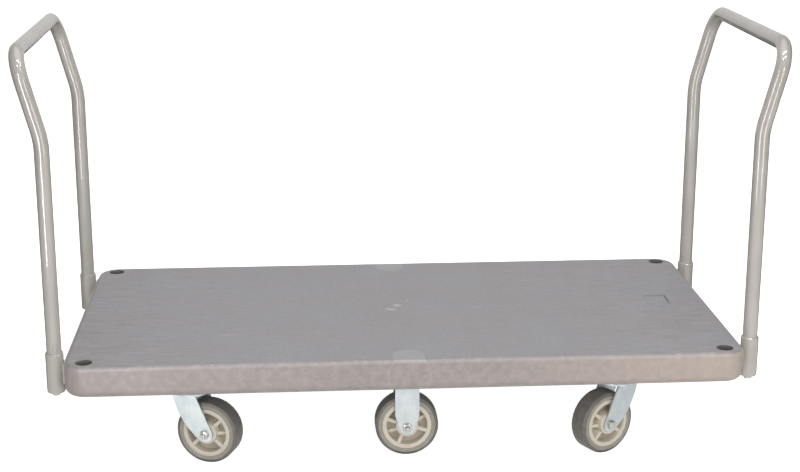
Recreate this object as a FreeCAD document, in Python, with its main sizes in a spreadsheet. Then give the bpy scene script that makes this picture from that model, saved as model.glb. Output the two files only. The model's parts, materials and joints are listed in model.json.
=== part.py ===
import FreeCAD, Part
import math
import os
import Sketcher

# Platform cart with a hollow moulded deck, two lift-out tube handles, four swivel
# casters near the corners and two rigid casters at mid length.
#
# Frame: origin on the floor under the deck's centre, +X along the deck towards its
# right end, +Y towards its rear side, +Z up. Millimetres and degrees.

Vector = FreeCAD.Vector
Placement = FreeCAD.Placement
Rotation = FreeCAD.Rotation

# ---------------------------------------------------------------------------
# Driving dimensions: name, value, meaning
# ---------------------------------------------------------------------------

DIMENSIONS = [
    ("deck_length", 1600.0, "deck along X"),
    ("deck_width", 800.0, "deck along Y"),
    ("deck_thickness", 77.0, "deck from its underside to its top"),
    ("deck_skin", 6.0, "top and bottom skins of the hollow deck"),
    ("deck_side_wall", 12.0, "wall along the deck's long sides"),
    ("deck_solid_end", 80.0, "solid stretch at each end that holds stake holes and inserts"),
    ("deck_corner_radius", 52.0, "deck corners seen from above"),
    ("deck_top_round", 11.0, "round along the top edge"),
    ("deck_bottom_round", 18.0, "round along the bottom edge"),
    ("stake_hole_diameter", 39.0, "vertical through-hole in each corner"),
    ("stake_hole_end_inset", 47.0, "hole axis from the deck's end"),
    ("stake_hole_side_inset", 37.0, "hole axis from the deck's long side"),
    ("stake_hole_round", 1.5, "round on the hole's two rims"),
    ("label_length", 53.0, "blank label recess along X"),
    ("label_width", 77.0, "blank label recess along Y"),
    ("label_depth", 1.6, "depth of the label recess"),
    ("label_end_inset", 123.5, "label recess centre from the deck's right end"),
    ("label_offset", 14.0, "label recess centre behind the deck's centreline"),
    ("pad_width", 75.0, "half-round smooth pad at mid length along X"),
    ("pad_reach", 78.0, "pad's reach in from the deck's side"),
    ("pad_depth", 0.5, "depth of the pad below the deck's top"),

    ("race_stack_height", 16.6, "fork crown's top to the caster plate's underside"),
    ("caster_plate_length", 114.0, "caster plate along X"),
    ("caster_plate_width", 102.0, "caster plate along Y"),
    ("caster_plate_thickness", 6.0, "caster plate"),
    ("caster_plate_corner", 10.0, "caster plate corner radius"),
    ("caster_bolt_spacing_long", 92.0, "caster bolts along X"),
    ("caster_bolt_spacing_short", 67.0, "caster bolts along Y"),
    ("caster_bolt_diameter", 10.0, "caster bolt shank"),
    ("caster_bolt_hole", 11.0, "clearance hole in the caster plate"),
    ("caster_bolt_head", 16.0, "caster bolt head across flats"),
    ("caster_bolt_head_height", 6.4, "caster bolt head height"),
    ("caster_insert_diameter", 16.0, "threaded insert in the deck's post"),
    ("caster_insert_length", 26.0, "insert depth in the deck's post"),
    ("caster_post_diameter", 32.0, "post inside the deck around each insert"),
    ("caster_end_inset", 288.0, "swivel axis from the deck's end"),
    ("caster_side_inset", 108.0, "caster centres from the deck's long side"),
    ("swivel_lead", 44.0, "axle behind the swivel axis"),

    ("wheel_diameter", 152.4, "over the tread"),
    ("wheel_width", 50.8, "over the tyre's side faces"),
    ("tread_flat", 38.0, "flat of the tread between the shoulders"),
    ("core_diameter", 118.0, "wheel core under the tyre"),
    ("core_ring_inner_diameter", 98.0, "inside of the core's rim ring"),
    ("core_web_thickness", 7.0, "closed web at the wheel's mid-plane"),
    ("core_boss_diameter", 53.0, "hub boss at its face"),
    ("core_boss_flare", 3.0, "boss radius gained from its face to the web"),
    ("core_rim_draft", 1.5, "ring radius lost from its face to the web"),
    ("core_face_setback", 1.0, "ring's face behind the tyre's side face"),
    ("hub_overhang", 3.9, "hub past each of the tyre's side faces"),
    ("hub_side_gap", 1.2, "between the hub's end and the fork's leg"),
    ("main_rib_width", 10.0, "four main ribs between boss and ring"),
    ("main_rib_setback", 3.0, "main rib's top below the ring's face"),
    ("main_rib_spread", 84.0, "degrees between the main ribs beside a low one"),
    ("low_rib_width", 9.0, "two low ribs, opposite each other between main ones"),
    ("low_rib_setback", 4.0, "low rib's top below the ring's face at the boss"),
    ("low_rib_ring_setback", 14.0, "low rib's top below the ring's face at the ring"),
    ("rib_overlap", 1.2, "rib's bite into boss and ring"),
    ("bushing_diameter", 26.0, "plain bushing pressed into the hub"),
    ("sleeve_diameter", 19.0, "steel sleeve that the bushing turns on"),
    ("bushing_running_gap", 0.06, "radial gap between bushing and sleeve"),
    ("axle_diameter", 12.0, "axle bolt shank"),
    ("axle_fit_gap", 0.15, "radial gap around the axle bolt"),
    ("axle_head_flats", 19.0, "axle bolt head and nut across flats"),
    ("axle_head_height", 7.5, "axle bolt head height"),
    ("axle_nut_height", 10.5, "axle nut height"),
    ("axle_tail", 2.5, "bolt thread past the nut"),

    ("leg_thickness", 5.0, "fork and rigid frame sheet"),
    ("leg_tip_radius", 19.5, "round tip around the axle"),
    ("leg_bend_radius", 8.0, "outer bend between crown and leg"),
    ("leg_back_top", 34.2, "fork leg's back edge behind the swivel axis at the crown"),
    ("leg_front_top", 24.3, "fork leg's front edge ahead of the swivel axis at the crown"),
    ("leg_back_curve", 177.0, "radius of the fork leg's back edge"),
    ("rigid_leg_width", 58.0, "rigid frame leg"),
    ("rigid_taper_height", 30.0, "start of the rigid leg's taper above the axle"),
    ("wheel_crown_gap", 16.0, "tread to the crown's underside"),
    ("crown_radius", 41.0, "fork crown's round plate"),
    ("race_radius", 30.0, "ball circle of the swivel race"),
    ("race_ring_outer", 39.0, "outer radius of both race rings"),
    ("race_ring_inner", 21.0, "inner radius of the fork's race ring"),
    ("race_gap", 3.0, "vertical gap between the two race rings"),
    ("ball_radius", 4.0, "race ball"),
    ("ball_gap", 0.1, "clearance around each ball"),
    ("ball_count", 18, "balls in each race"),
    ("dust_lip_clearance", 1.5, "dust lip outside the race rings"),
    ("dust_lip_thickness", 2.5, "dust lip wall"),
    ("dust_lip_overlap", 3.0, "dust lip reach below the upper race ring"),
    ("kingpin_diameter", 16.0, "kingpin shank"),
    ("kingpin_running_gap", 0.08, "radial gap between kingpin and fork"),
    ("kingpin_head_diameter", 27.0, "kingpin head in the plate's counterbore"),
    ("kingpin_head_height", 9.0, "kingpin head"),
    ("kingpin_head_gap", 0.5, "kingpin head below the deck and inside its counterbore"),
    ("kingpin_washer_diameter", 30.0, "washer under the fork's crown"),
    ("kingpin_washer_thickness", 2.5, "washer under the fork's crown"),
    ("kingpin_nut_flats", 24.0, "kingpin nut across flats"),
    ("kingpin_nut_height", 8.0, "kingpin nut"),
    ("running_gap", 0.3, "gap between faces that slide past each other"),

    ("end_plate_overhang", 28.0, "end plate past each socket's axis along Y"),
    ("end_plate_height", 45.0, "end plate along Z"),
    ("end_plate_thickness", 5.0, "end plate"),
    ("end_plate_drop", 36.0, "end plate centre below the deck's top"),
    ("end_bolt_diameter", 8.0, "end plate bolt shank"),
    ("end_bolt_hole", 9.0, "clearance hole in the end plate"),
    ("end_bolt_head", 13.0, "end plate bolt head across flats"),
    ("end_bolt_head_height", 5.5, "end plate bolt head"),
    ("end_bolt_inset", 82.0, "outer end plate bolts inside the socket's axis along Y"),
    ("end_bolt_pitch", 150.0, "between an outer and an inner end plate bolt"),
    ("end_insert_diameter", 14.0, "threaded insert in the deck's end"),
    ("end_insert_length", 28.0, "end insert depth"),
    ("insert_tail", 3.0, "insert past the bolt's tip"),
    ("thread_gap", 0.1, "radial gap between a bolt and its thread"),

    ("socket_wall", 3.3, "socket tube wall"),
    ("socket_side_inset", 83.0, "socket axis from the deck's long side"),
    ("socket_rise", 11.0, "socket above the deck's top"),
    ("socket_drop", 10.0, "socket below the deck's underside"),
    ("socket_foot", 5.0, "plate that closes the socket's foot"),
    ("socket_rim_chamfer", 1.2, "chamfer on the socket's upper rim"),
    ("socket_foot_chamfer", 2.0, "chamfer on the socket's foot"),
    ("handle_bolt_diameter", 10.0, "handle bolt shank"),
    ("handle_bolt_clearance", 0.5, "radial clearance around the handle bolt"),
    ("handle_bolt_head", 17.0, "handle bolt head across flats"),
    ("handle_bolt_head_height", 6.4, "handle bolt head"),
    ("handle_bolt_reach", 22.0, "handle bolt above the socket's foot plate"),
    ("handle_washer_diameter", 21.0, "washer under the socket's foot"),
    ("handle_washer_thickness", 2.0, "washer under the socket's foot"),

    ("tube_diameter", 35.0, "handle tube outside"),
    ("tube_wall", 2.1, "handle tube wall"),
    ("tube_socket_gap", 0.3, "radial gap between leg and socket"),
    ("handle_bar_height", 710.0, "top bar's axis above the deck's top"),
    ("handle_kink_height", 515.0, "leg's kink above the deck's top"),
    ("handle_lean", 14.5, "outward lean above the kink, degrees"),
    ("handle_kink_radius", 210.0, "bend radius at the kink"),
    ("handle_corner_radius", 66.0, "bend radius at the two upper corners"),
    ("plug_length", 26.0, "threaded plug welded into the foot of each leg"),

    ("front_left_yaw", -20.0, "swivel angle at rest, degrees"),
    ("front_right_yaw", 209.0, "swivel angle at rest, degrees"),
    ("rear_left_yaw", 14.0, "swivel angle at rest, degrees"),
    ("rear_right_yaw", 158.0, "swivel angle at rest, degrees"),
]

doc = FreeCAD.newDocument("platform_cart")
sheet = doc.addObject("Spreadsheet::Sheet", "sizes")
for row, (alias, amount, meaning) in enumerate(DIMENSIONS, start=1):
    sheet.set("A%d" % row, alias)
    sheet.set("B%d" % row, str(amount))
    sheet.set("C%d" % row, meaning)
    sheet.setAlias("B%d" % row, alias)
doc.recompute()

NAMES = [alias for alias, amount, meaning in DIMENSIONS]


def bound(formula):
    """A formula of dimension names, rewritten so that the document can evaluate it."""
    words = formula.replace("(", " ( ").replace(")", " ) ").split()
    return " ".join("sizes." + word if word in NAMES else word for word in words)


def size(formula):
    """The present value of a formula of dimension names."""
    return float(sheet.evalExpression(formula))


# Formulas that several sub-parts share
CROWN_UNDERSIDE = "( wheel_diameter + wheel_crown_gap )"
CROWN_TOP = "( wheel_diameter + wheel_crown_gap + leg_thickness )"
PLATE_UNDERSIDE = "( %s + race_stack_height )" % CROWN_TOP
CASTER_HEIGHT = "( %s + caster_plate_thickness )" % PLATE_UNDERSIDE
DECK_TOP = "( %s + deck_thickness )" % CASTER_HEIGHT
WHEEL_RADIUS = "( wheel_diameter / 2 )"
RACE_SPLIT = "( ( %s + %s ) / 2 )" % (CROWN_TOP, PLATE_UNDERSIDE)
LOWER_RACE_TOP = "( %s - race_gap / 2 )" % RACE_SPLIT
UPPER_RACE_FOOT = "( %s + race_gap / 2 )" % RACE_SPLIT
SWIVEL_X = "( deck_length / 2 - caster_end_inset )"
CASTER_Y = "( deck_width / 2 - caster_side_inset )"
HUB_LENGTH = "( wheel_width + 2 * hub_overhang )"
LEG_GAP = "( %s + 2 * hub_side_gap )" % HUB_LENGTH
LEG_OUTER_FACE = "( %s / 2 + leg_thickness )" % LEG_GAP
SOCKET_BORE_RADIUS = "( tube_diameter / 2 + tube_socket_gap )"
SOCKET_RADIUS = "( %s + socket_wall )" % SOCKET_BORE_RADIUS
SOCKET_X = "( deck_length / 2 + end_plate_thickness + %s )" % SOCKET_RADIUS
SOCKET_Y = "( deck_width / 2 - socket_side_inset )"
SOCKET_FOOT_Z = "( %s - socket_drop )" % CASTER_HEIGHT
LEG_FOOT_Z = "( %s + socket_foot + running_gap )" % SOCKET_FOOT_Z
END_PLATE_Z = "( %s - end_plate_drop )" % DECK_TOP


# ---------------------------------------------------------------------------
# Modelling helpers
# ---------------------------------------------------------------------------

def new_body(label):
    """A body that may hold several separate solids, such as a set of bolts."""
    body = doc.addObject("PartDesign::Body", label)
    body.Label = label
    body.AllowCompound = True
    return body


def new_sketch(body, plane, level="0"):
    """A sketch on one of the body's own planes, raised along the plane's normal."""
    sketch = body.newObject("Sketcher::SketchObject", body.Name + "_sketch")
    origin_plane = [item for item in body.Origin.OriginFeatures if item.Role == plane][0]
    sketch.AttachmentSupport = [(origin_plane, "")]
    sketch.MapMode = "FlatFace"
    if level != "0":
        sketch.setExpression("AttachmentOffset.Base.z", bound(level))
    return sketch


def pin_point(sketch, geometry, end, x, y):
    """Ties one point of a sketch to two formulas, measured from the sketch's origin."""
    for kind, formula, axis in (("DistanceX", x, -2), ("DistanceY", y, -1)):
        distance = size(formula)
        if abs(distance) < 1e-9:
            sketch.addConstraint(Sketcher.Constraint("PointOnObject", geometry, end, axis))
        else:
            rule = Sketcher.Constraint(kind, -1, 1, geometry, end, distance)
            index = sketch.addConstraint(rule)
            sketch.setExpression("Constraints[%d]" % index, bound(formula))


def pin_radius(sketch, geometry, radius):
    index = sketch.addConstraint(Sketcher.Constraint("Radius", geometry, size(radius)))
    sketch.setExpression("Constraints[%d]" % index, bound(radius))


def draw_circle(sketch, x, y, radius):
    """A circle with its centre and radius tied to formulas."""
    centre = Vector(size(x), size(y), 0)
    circle = sketch.addGeometry(Part.Circle(centre, Vector(0, 0, 1), size(radius)), False)
    if abs(centre.x) < 1e-9 and abs(centre.y) < 1e-9:
        sketch.addConstraint(Sketcher.Constraint("Coincident", circle, 3, -1, 1))
    else:
        pin_point(sketch, circle, 3, x, y)
    pin_radius(sketch, circle, radius)
    return circle


def draw_outline(sketch, corners):
    """A closed outline of straight lines; each corner is a pair of formulas."""
    points = [Vector(size(x), size(y), 0) for x, y in corners]
    lines = []
    for index, start in enumerate(points):
        finish = points[(index + 1) % len(points)]
        lines.append(sketch.addGeometry(Part.LineSegment(start, finish), False))
    for index, line in enumerate(lines):
        after = lines[(index + 1) % len(lines)]
        sketch.addConstraint(Sketcher.Constraint("Coincident", line, 2, after, 1))
    for line, (x, y) in zip(lines, corners):
        pin_point(sketch, line, 1, x, y)


def draw_rectangle(sketch, x_low, y_low, x_high, y_high):
    draw_outline(sketch, [(x_low, y_low), (x_high, y_low), (x_high, y_high), (x_low, y_high)])


def draw_hexagon(sketch, x, y, flats):
    """A hexagon with two corners along the sketch's x direction."""
    corner = "( %s ) * %.9f" % (flats, 2 / math.sqrt(3))
    half_flat = "( %s ) / 2" % flats
    steps = [(0.5, 0), (0.25, 1), (-0.25, 1), (-0.5, 0), (-0.25, -1), (0.25, -1)]
    corners = []
    for along, across in steps:
        corner_x = "( %s ) + %s * %s" % (x, along, corner)
        corner_y = "( %s ) + %s * %s" % (y, across, half_flat)
        corners.append((corner_x, corner_y))
    draw_outline(sketch, corners)


def pad(body, sketch, length, reverse=False, symmetric=False):
    feature = body.newObject("PartDesign::Pad", body.Name + "_pad")
    feature.Profile = sketch
    feature.setExpression("Length", bound(length))
    feature.Reversed = reverse
    if symmetric:
        feature.SideType = "Symmetric"
    doc.recompute()
    return feature


def cut_volume(body, feature, volume_before):
    """Stops the build where a pocket or groove has removed nothing."""
    doc.recompute()
    if body.Shape.Volume > volume_before - 1e-3:
        raise RuntimeError("%s cut nothing" % feature.Name)


def pocket(body, sketch, length, reverse=False, symmetric=False, through=False):
    before = body.Shape.Volume
    feature = body.newObject("PartDesign::Pocket", body.Name + "_pocket")
    feature.Profile = sketch
    if through:
        feature.Type = "ThroughAll"
    else:
        feature.setExpression("Length", bound(length))
    feature.Reversed = reverse
    if symmetric:
        feature.SideType = "Symmetric"
    cut_volume(body, feature, before)
    return feature


def revolve(body, sketch):
    """Turns a sketch on the XZ plane once round the body's Z axis."""
    feature = body.newObject("PartDesign::Revolution", body.Name + "_revolution")
    feature.Profile = sketch
    feature.ReferenceAxis = (sketch, ["V_Axis"])
    feature.Angle = 360
    doc.recompute()
    return feature


def groove(body, sketch):
    before = body.Shape.Volume
    feature = body.newObject("PartDesign::Groove", body.Name + "_groove")
    feature.Profile = sketch
    feature.ReferenceAxis = (sketch, ["V_Axis"])
    feature.Angle = 360
    cut_volume(body, feature, before)
    return feature


def polar_pattern(body, feature, count):
    """Repeats a feature evenly round the body's Z axis."""
    z_axis = [item for item in body.Origin.OriginFeatures if item.Role == "Z_Axis"][0]
    pattern = body.newObject("PartDesign::PolarPattern", body.Name + "_pattern")
    pattern.Originals = [feature]
    pattern.Axis = (z_axis, [""])
    pattern.Angle = 360
    pattern.Occurrences = count
    body.Tip = pattern
    doc.recompute()
    return pattern


def dress(body, kind, base, radius, wanted):
    """Rounds or chamfers the edges of the base feature that a test picks out."""
    picked = []
    for number, edge in enumerate(base.Shape.Edges, start=1):
        if wanted(edge):
            picked.append("Edge%d" % number)
    feature = body.newObject("PartDesign::" + kind, body.Name + "_" + kind.lower())
    feature.Base = (base, picked)
    feature.setExpression("Radius" if kind == "Fillet" else "Size", bound(radius))
    doc.recompute()
    return feature


def at_height(edge, height):
    """True where the whole edge lies at one height."""
    box = edge.BoundBox
    return abs(box.ZMin - height) < 1e-4 and abs(box.ZMax - height) < 1e-4


def is_vertical(edge):
    box = edge.BoundBox
    return box.XLength < 1e-4 and box.YLength < 1e-4 and box.ZLength > 1e-3


# ---------------------------------------------------------------------------
# Deck
# ---------------------------------------------------------------------------

CORNER_SIGNS = [(-1, -1), (1, -1), (1, 1), (-1, 1)]


def caster_bolt_points():
    """The axes of all the caster bolts as pairs of formulas."""
    points = []
    for caster_x in ("-1 * " + SWIVEL_X, "0", SWIVEL_X):
        for side in (-1, 1):
            for sign_x, sign_y in CORNER_SIGNS:
                x = "%s + %d * caster_bolt_spacing_long / 2" % (caster_x, sign_x)
                y = "%d * %s + %d * caster_bolt_spacing_short / 2" % (side, CASTER_Y, sign_y)
                points.append((x, y))
    return points


def stake_hole_points():
    points = []
    for sign_x, sign_y in CORNER_SIGNS:
        x = "%d * ( deck_length / 2 - stake_hole_end_inset )" % sign_x
        y = "%d * ( deck_width / 2 - stake_hole_side_inset )" % sign_y
        points.append((x, y))
    return points


def end_bolt_points():
    """The end plate bolts on one end plate, as distances along Y."""
    outer = "( %s - end_bolt_inset )" % SOCKET_Y
    inner = "( %s - end_bolt_pitch )" % outer
    return ["-1 * " + outer, "-1 * " + inner, inner, outer]


def make_deck():
    body = new_body("deck")
    half_length = "deck_length / 2"
    half_width = "deck_width / 2"

    slab_sketch = new_sketch(body, "XY_Plane", CASTER_HEIGHT)
    draw_rectangle(slab_sketch, "-1 * " + half_length, "-1 * " + half_width, half_length, half_width)
    slab = pad(body, slab_sketch, "deck_thickness")
    corners = dress(body, "Fillet", slab, "deck_corner_radius", is_vertical)

    underside = size(CASTER_HEIGHT)
    rounded_foot = dress(body, "Fillet", corners, "deck_bottom_round",
                         lambda edge: at_height(edge, underside))
    top = size(DECK_TOP)
    dress(body, "Fillet", rounded_foot, "deck_top_round",
          lambda edge: at_height(edge, top))

    # the closed hollow between the skins, with a full-height post round each insert
    hollow_sketch = new_sketch(body, "XY_Plane", CASTER_HEIGHT + " + deck_skin")
    hollow_x = "( deck_length / 2 - deck_solid_end )"
    hollow_y = "( deck_width / 2 - deck_side_wall )"
    draw_rectangle(hollow_sketch, "-1 * " + hollow_x, "-1 * " + hollow_y, hollow_x, hollow_y)
    for x, y in caster_bolt_points():
        draw_circle(hollow_sketch, x, y, "caster_post_diameter / 2")
    pocket(body, hollow_sketch, "deck_thickness - 2 * deck_skin", reverse=True)

    # stake holes through the solid ends, rounded at both rims
    stake_sketch = new_sketch(body, "XY_Plane", DECK_TOP)
    for x, y in stake_hole_points():
        draw_circle(stake_sketch, x, y, "stake_hole_diameter / 2")
    stakes = pocket(body, stake_sketch, "deck_thickness")
    rim_radius = size("stake_hole_diameter / 2")

    def is_stake_rim(edge):
        curve = edge.Curve
        return isinstance(curve, Part.Circle) and abs(curve.Radius - rim_radius) < 1e-4

    dress(body, "Fillet", stakes, "stake_hole_round", is_stake_rim)

    # seats of the threaded inserts, in the underside and in both ends
    seat_sketch = new_sketch(body, "XY_Plane", CASTER_HEIGHT)
    for x, y in caster_bolt_points():
        draw_circle(seat_sketch, x, y, "caster_insert_diameter / 2")
    pocket(body, seat_sketch, "caster_insert_length", reverse=True)
    for side, reverse in (("-1 * ", True), ("", False)):
        end_sketch = new_sketch(body, "YZ_Plane", side + "deck_length / 2")
        for y in end_bolt_points():
            draw_circle(end_sketch, y, END_PLATE_Z, "end_insert_diameter / 2")
        pocket(body, end_sketch, "end_insert_length", reverse=reverse)

    # blank label recess near the right end
    label_sketch = new_sketch(body, "XY_Plane", DECK_TOP)
    label_x = "( deck_length / 2 - label_end_inset )"
    draw_rectangle(label_sketch,
                   label_x + " - label_length / 2", "label_offset - label_width / 2",
                   label_x + " + label_length / 2", "label_offset + label_width / 2")
    pocket(body, label_sketch, "label_depth")

    # half-round pads that run out over the top edge at mid length
    for side in (-1, 1):
        pad_sketch = new_sketch(body, "XY_Plane", DECK_TOP)
        draw_half_round(pad_sketch, side)
        pocket(body, pad_sketch, "pad_depth")
    return body


def draw_half_round(sketch, side):
    """A U-shaped outline whose round end points at the deck's centreline."""
    radius = size("pad_width / 2")
    centre_y = "%d * ( deck_width / 2 - pad_reach + pad_width / 2 )" % side
    edge_y = "%d * deck_width / 2" % side
    centre = Vector(0, size(centre_y), 0)
    first = 0 if side < 0 else math.pi
    arc = Part.ArcOfCircle(Part.Circle(centre, Vector(0, 0, 1), radius), first, first + math.pi)
    right = Vector(radius, size(edge_y), 0)
    left = Vector(-radius, size(edge_y), 0)
    arc_start = Vector(radius if side < 0 else -radius, centre.y, 0)
    arc_end = Vector(-arc_start.x, centre.y, 0)
    near_start = right if side < 0 else left
    near_end = left if side < 0 else right
    arc_id = sketch.addGeometry(arc, False)
    second = sketch.addGeometry(Part.LineSegment(arc_end, near_end), False)
    third = sketch.addGeometry(Part.LineSegment(near_end, near_start), False)
    fourth = sketch.addGeometry(Part.LineSegment(near_start, arc_start), False)
    sketch.addConstraint(Sketcher.Constraint("Coincident", second, 2, third, 1))
    sketch.addConstraint(Sketcher.Constraint("Coincident", third, 2, fourth, 1))
    sketch.addConstraint(Sketcher.Constraint("Tangent", arc_id, 2, second, 1))
    sketch.addConstraint(Sketcher.Constraint("Tangent", arc_id, 1, fourth, 2))
    sketch.addConstraint(Sketcher.Constraint("Vertical", second))
    sketch.addConstraint(Sketcher.Constraint("Vertical", fourth))
    sketch.addConstraint(Sketcher.Constraint("Horizontal", third))
    pin_point(sketch, arc_id, 3, "0", centre_y)
    pin_radius(sketch, arc_id, "pad_width / 2")
    edge = sketch.addConstraint(Sketcher.Constraint("DistanceY", -1, 1, third, 1, near_end.y))
    sketch.setExpression("Constraints[%d]" % edge, bound(edge_y))


# ---------------------------------------------------------------------------
# Bolt and insert sets
# ---------------------------------------------------------------------------

def make_caster_bolts():
    """Hex bolts that rise through the caster plates into the deck's inserts."""
    body = new_body("caster_bolts")
    head_sketch = new_sketch(body, "XY_Plane", PLATE_UNDERSIDE)
    for x, y in caster_bolt_points():
        draw_hexagon(head_sketch, x, y, "caster_bolt_head")
    pad(body, head_sketch, "caster_bolt_head_height", reverse=True)
    shank_sketch = new_sketch(body, "XY_Plane", PLATE_UNDERSIDE)
    for x, y in caster_bolt_points():
        draw_circle(shank_sketch, x, y, "caster_bolt_diameter / 2")
    pad(body, shank_sketch, "caster_plate_thickness + caster_insert_length - insert_tail")
    return body


def make_caster_inserts():
    """Threaded inserts moulded into the posts of the deck, open downwards."""
    body = new_body("caster_inserts")
    outer_sketch = new_sketch(body, "XY_Plane", CASTER_HEIGHT)
    for x, y in caster_bolt_points():
        draw_circle(outer_sketch, x, y, "caster_insert_diameter / 2")
    pad(body, outer_sketch, "caster_insert_length")
    thread_sketch = new_sketch(body, "XY_Plane", CASTER_HEIGHT)
    for x, y in caster_bolt_points():
        draw_circle(thread_sketch, x, y, "caster_bolt_diameter / 2 + thread_gap")
    pocket(body, thread_sketch, "caster_insert_length - insert_tail / 2", reverse=True)
    return body


def make_end_bolts():
    body = new_body("end_plate_bolts")
    outer_face = "deck_length / 2 + end_plate_thickness"
    for side, reverse in (("-1 * ", True), ("", False)):
        head_sketch = new_sketch(body, "YZ_Plane", side + "( " + outer_face + " )")
        for y in end_bolt_points():
            draw_hexagon(head_sketch, y, END_PLATE_Z, "end_bolt_head")
        pad(body, head_sketch, "end_bolt_head_height", reverse=reverse)
        shank_sketch = new_sketch(body, "YZ_Plane", side + "( " + outer_face + " )")
        for y in end_bolt_points():
            draw_circle(shank_sketch, y, END_PLATE_Z, "end_bolt_diameter / 2")
        pad(body, shank_sketch, "end_plate_thickness + end_insert_length - insert_tail",
            reverse=not reverse)
    return body


def make_end_inserts():
    body = new_body("end_plate_inserts")
    for side, reverse in (("-1 * ", False), ("", True)):
        outer_sketch = new_sketch(body, "YZ_Plane", side + "deck_length / 2")
        for y in end_bolt_points():
            draw_circle(outer_sketch, y, END_PLATE_Z, "end_insert_diameter / 2")
        pad(body, outer_sketch, "end_insert_length", reverse=reverse)
        thread_sketch = new_sketch(body, "YZ_Plane", side + "deck_length / 2")
        for y in end_bolt_points():
            draw_circle(thread_sketch, y, END_PLATE_Z, "end_bolt_diameter / 2 + thread_gap")
        pocket(body, thread_sketch, "end_insert_length - insert_tail / 2", reverse=not reverse)
    return body


def handle_leg_points():
    points = []
    for sign_x, sign_y in CORNER_SIGNS:
        points.append(("%d * %s" % (sign_x, SOCKET_X), "%d * %s" % (sign_y, SOCKET_Y)))
    return points


def make_handle_bolts():
    """One bolt and washer under the foot of each socket."""
    body = new_body("handle_bolts")
    washer_sketch = new_sketch(body, "XY_Plane", SOCKET_FOOT_Z)
    for x, y in handle_leg_points():
        draw_circle(washer_sketch, x, y, "handle_washer_diameter / 2")
        draw_circle(washer_sketch, x, y, "handle_bolt_diameter / 2 + thread_gap")
    pad(body, washer_sketch, "handle_washer_thickness", reverse=True)
    head_level = SOCKET_FOOT_Z + " - handle_washer_thickness"
    head_sketch = new_sketch(body, "XY_Plane", head_level)
    for x, y in handle_leg_points():
        draw_hexagon(head_sketch, x, y, "handle_bolt_head")
    pad(body, head_sketch, "handle_bolt_head_height", reverse=True)
    shank_sketch = new_sketch(body, "XY_Plane", head_level)
    for x, y in handle_leg_points():
        draw_circle(shank_sketch, x, y, "handle_bolt_diameter / 2")
    pad(body, shank_sketch, "handle_washer_thickness + socket_foot + handle_bolt_reach")
    return body


# ---------------------------------------------------------------------------
# End plates, sockets and handles
# ---------------------------------------------------------------------------

def make_end_plate(label, side):
    body = new_body(label)
    start = "%d * deck_length / 2" % side
    half_length = "( %s + end_plate_overhang )" % SOCKET_Y
    outline = new_sketch(body, "YZ_Plane", start)
    draw_rectangle(outline,
                   "-1 * " + half_length, END_PLATE_Z + " - end_plate_height / 2",
                   half_length, END_PLATE_Z + " + end_plate_height / 2")
    for y in end_bolt_points():
        draw_circle(outline, y, END_PLATE_Z, "end_bolt_hole / 2")
    pad(body, outline, "end_plate_thickness", reverse=side < 0)
    return body


def make_socket(label):
    """A tube closed at its foot by a plate with a bolt hole, about its own axis."""
    body = new_body(label)
    outer = SOCKET_RADIUS
    rim = "( %s + socket_rise )" % DECK_TOP
    foot = SOCKET_FOOT_Z
    bolt_hole = "( handle_bolt_diameter / 2 + handle_bolt_clearance )"
    wall = new_sketch(body, "XZ_Plane")
    draw_outline(wall, [
        (bolt_hole, foot),
        (outer + " - socket_foot_chamfer", foot),
        (outer, foot + " + socket_foot_chamfer"),
        (outer, rim + " - socket_rim_chamfer"),
        (outer + " - socket_rim_chamfer", rim),
        (SOCKET_BORE_RADIUS, rim),
        (SOCKET_BORE_RADIUS, foot + " + socket_foot"),
        (bolt_hole, foot + " + socket_foot"),
    ])
    revolve(body, wall)
    return body


def handle_path(side):
    """The tube's centreline: up one leg, out at the kink, across the top and down again."""
    socket_x = size(SOCKET_X)
    half_spacing = size(SOCKET_Y)
    deck_top = size(DECK_TOP)
    kink_z = deck_top + size("handle_kink_height")
    bar_z = deck_top + size("handle_bar_height")
    lean = math.radians(size("handle_lean"))
    bar_x = socket_x + (bar_z - kink_z) * math.tan(lean)
    corners = [
        (Vector(side * socket_x, -half_spacing, size(LEG_FOOT_Z)), 0),
        (Vector(side * socket_x, -half_spacing, kink_z), size("handle_kink_radius")),
        (Vector(side * bar_x, -half_spacing, bar_z), size("handle_corner_radius")),
        (Vector(side * bar_x, half_spacing, bar_z), size("handle_corner_radius")),
        (Vector(side * socket_x, half_spacing, kink_z), size("handle_kink_radius")),
        (Vector(side * socket_x, half_spacing, size(LEG_FOOT_Z)), 0),
    ]
    edges = []
    start = corners[0][0]
    for (before, _), (corner, radius), (after, _) in zip(corners, corners[1:], corners[2:]):
        incoming = (corner - before).normalize()
        outgoing = (after - corner).normalize()
        turn = incoming.getAngle(outgoing)
        setback = radius * math.tan(turn / 2)
        arc_start = corner - incoming * setback
        arc_end = corner + outgoing * setback
        inward = (outgoing - incoming).normalize()
        arc_middle = corner + inward * (radius / math.cos(turn / 2) - radius)
        edges.append(Part.LineSegment(start, arc_start).toShape())
        edges.append(Part.Arc(arc_start, arc_middle, arc_end).toShape())
        start = arc_end
    edges.append(Part.LineSegment(start, corners[-1][0]).toShape())
    return Part.Wire(edges)


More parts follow.
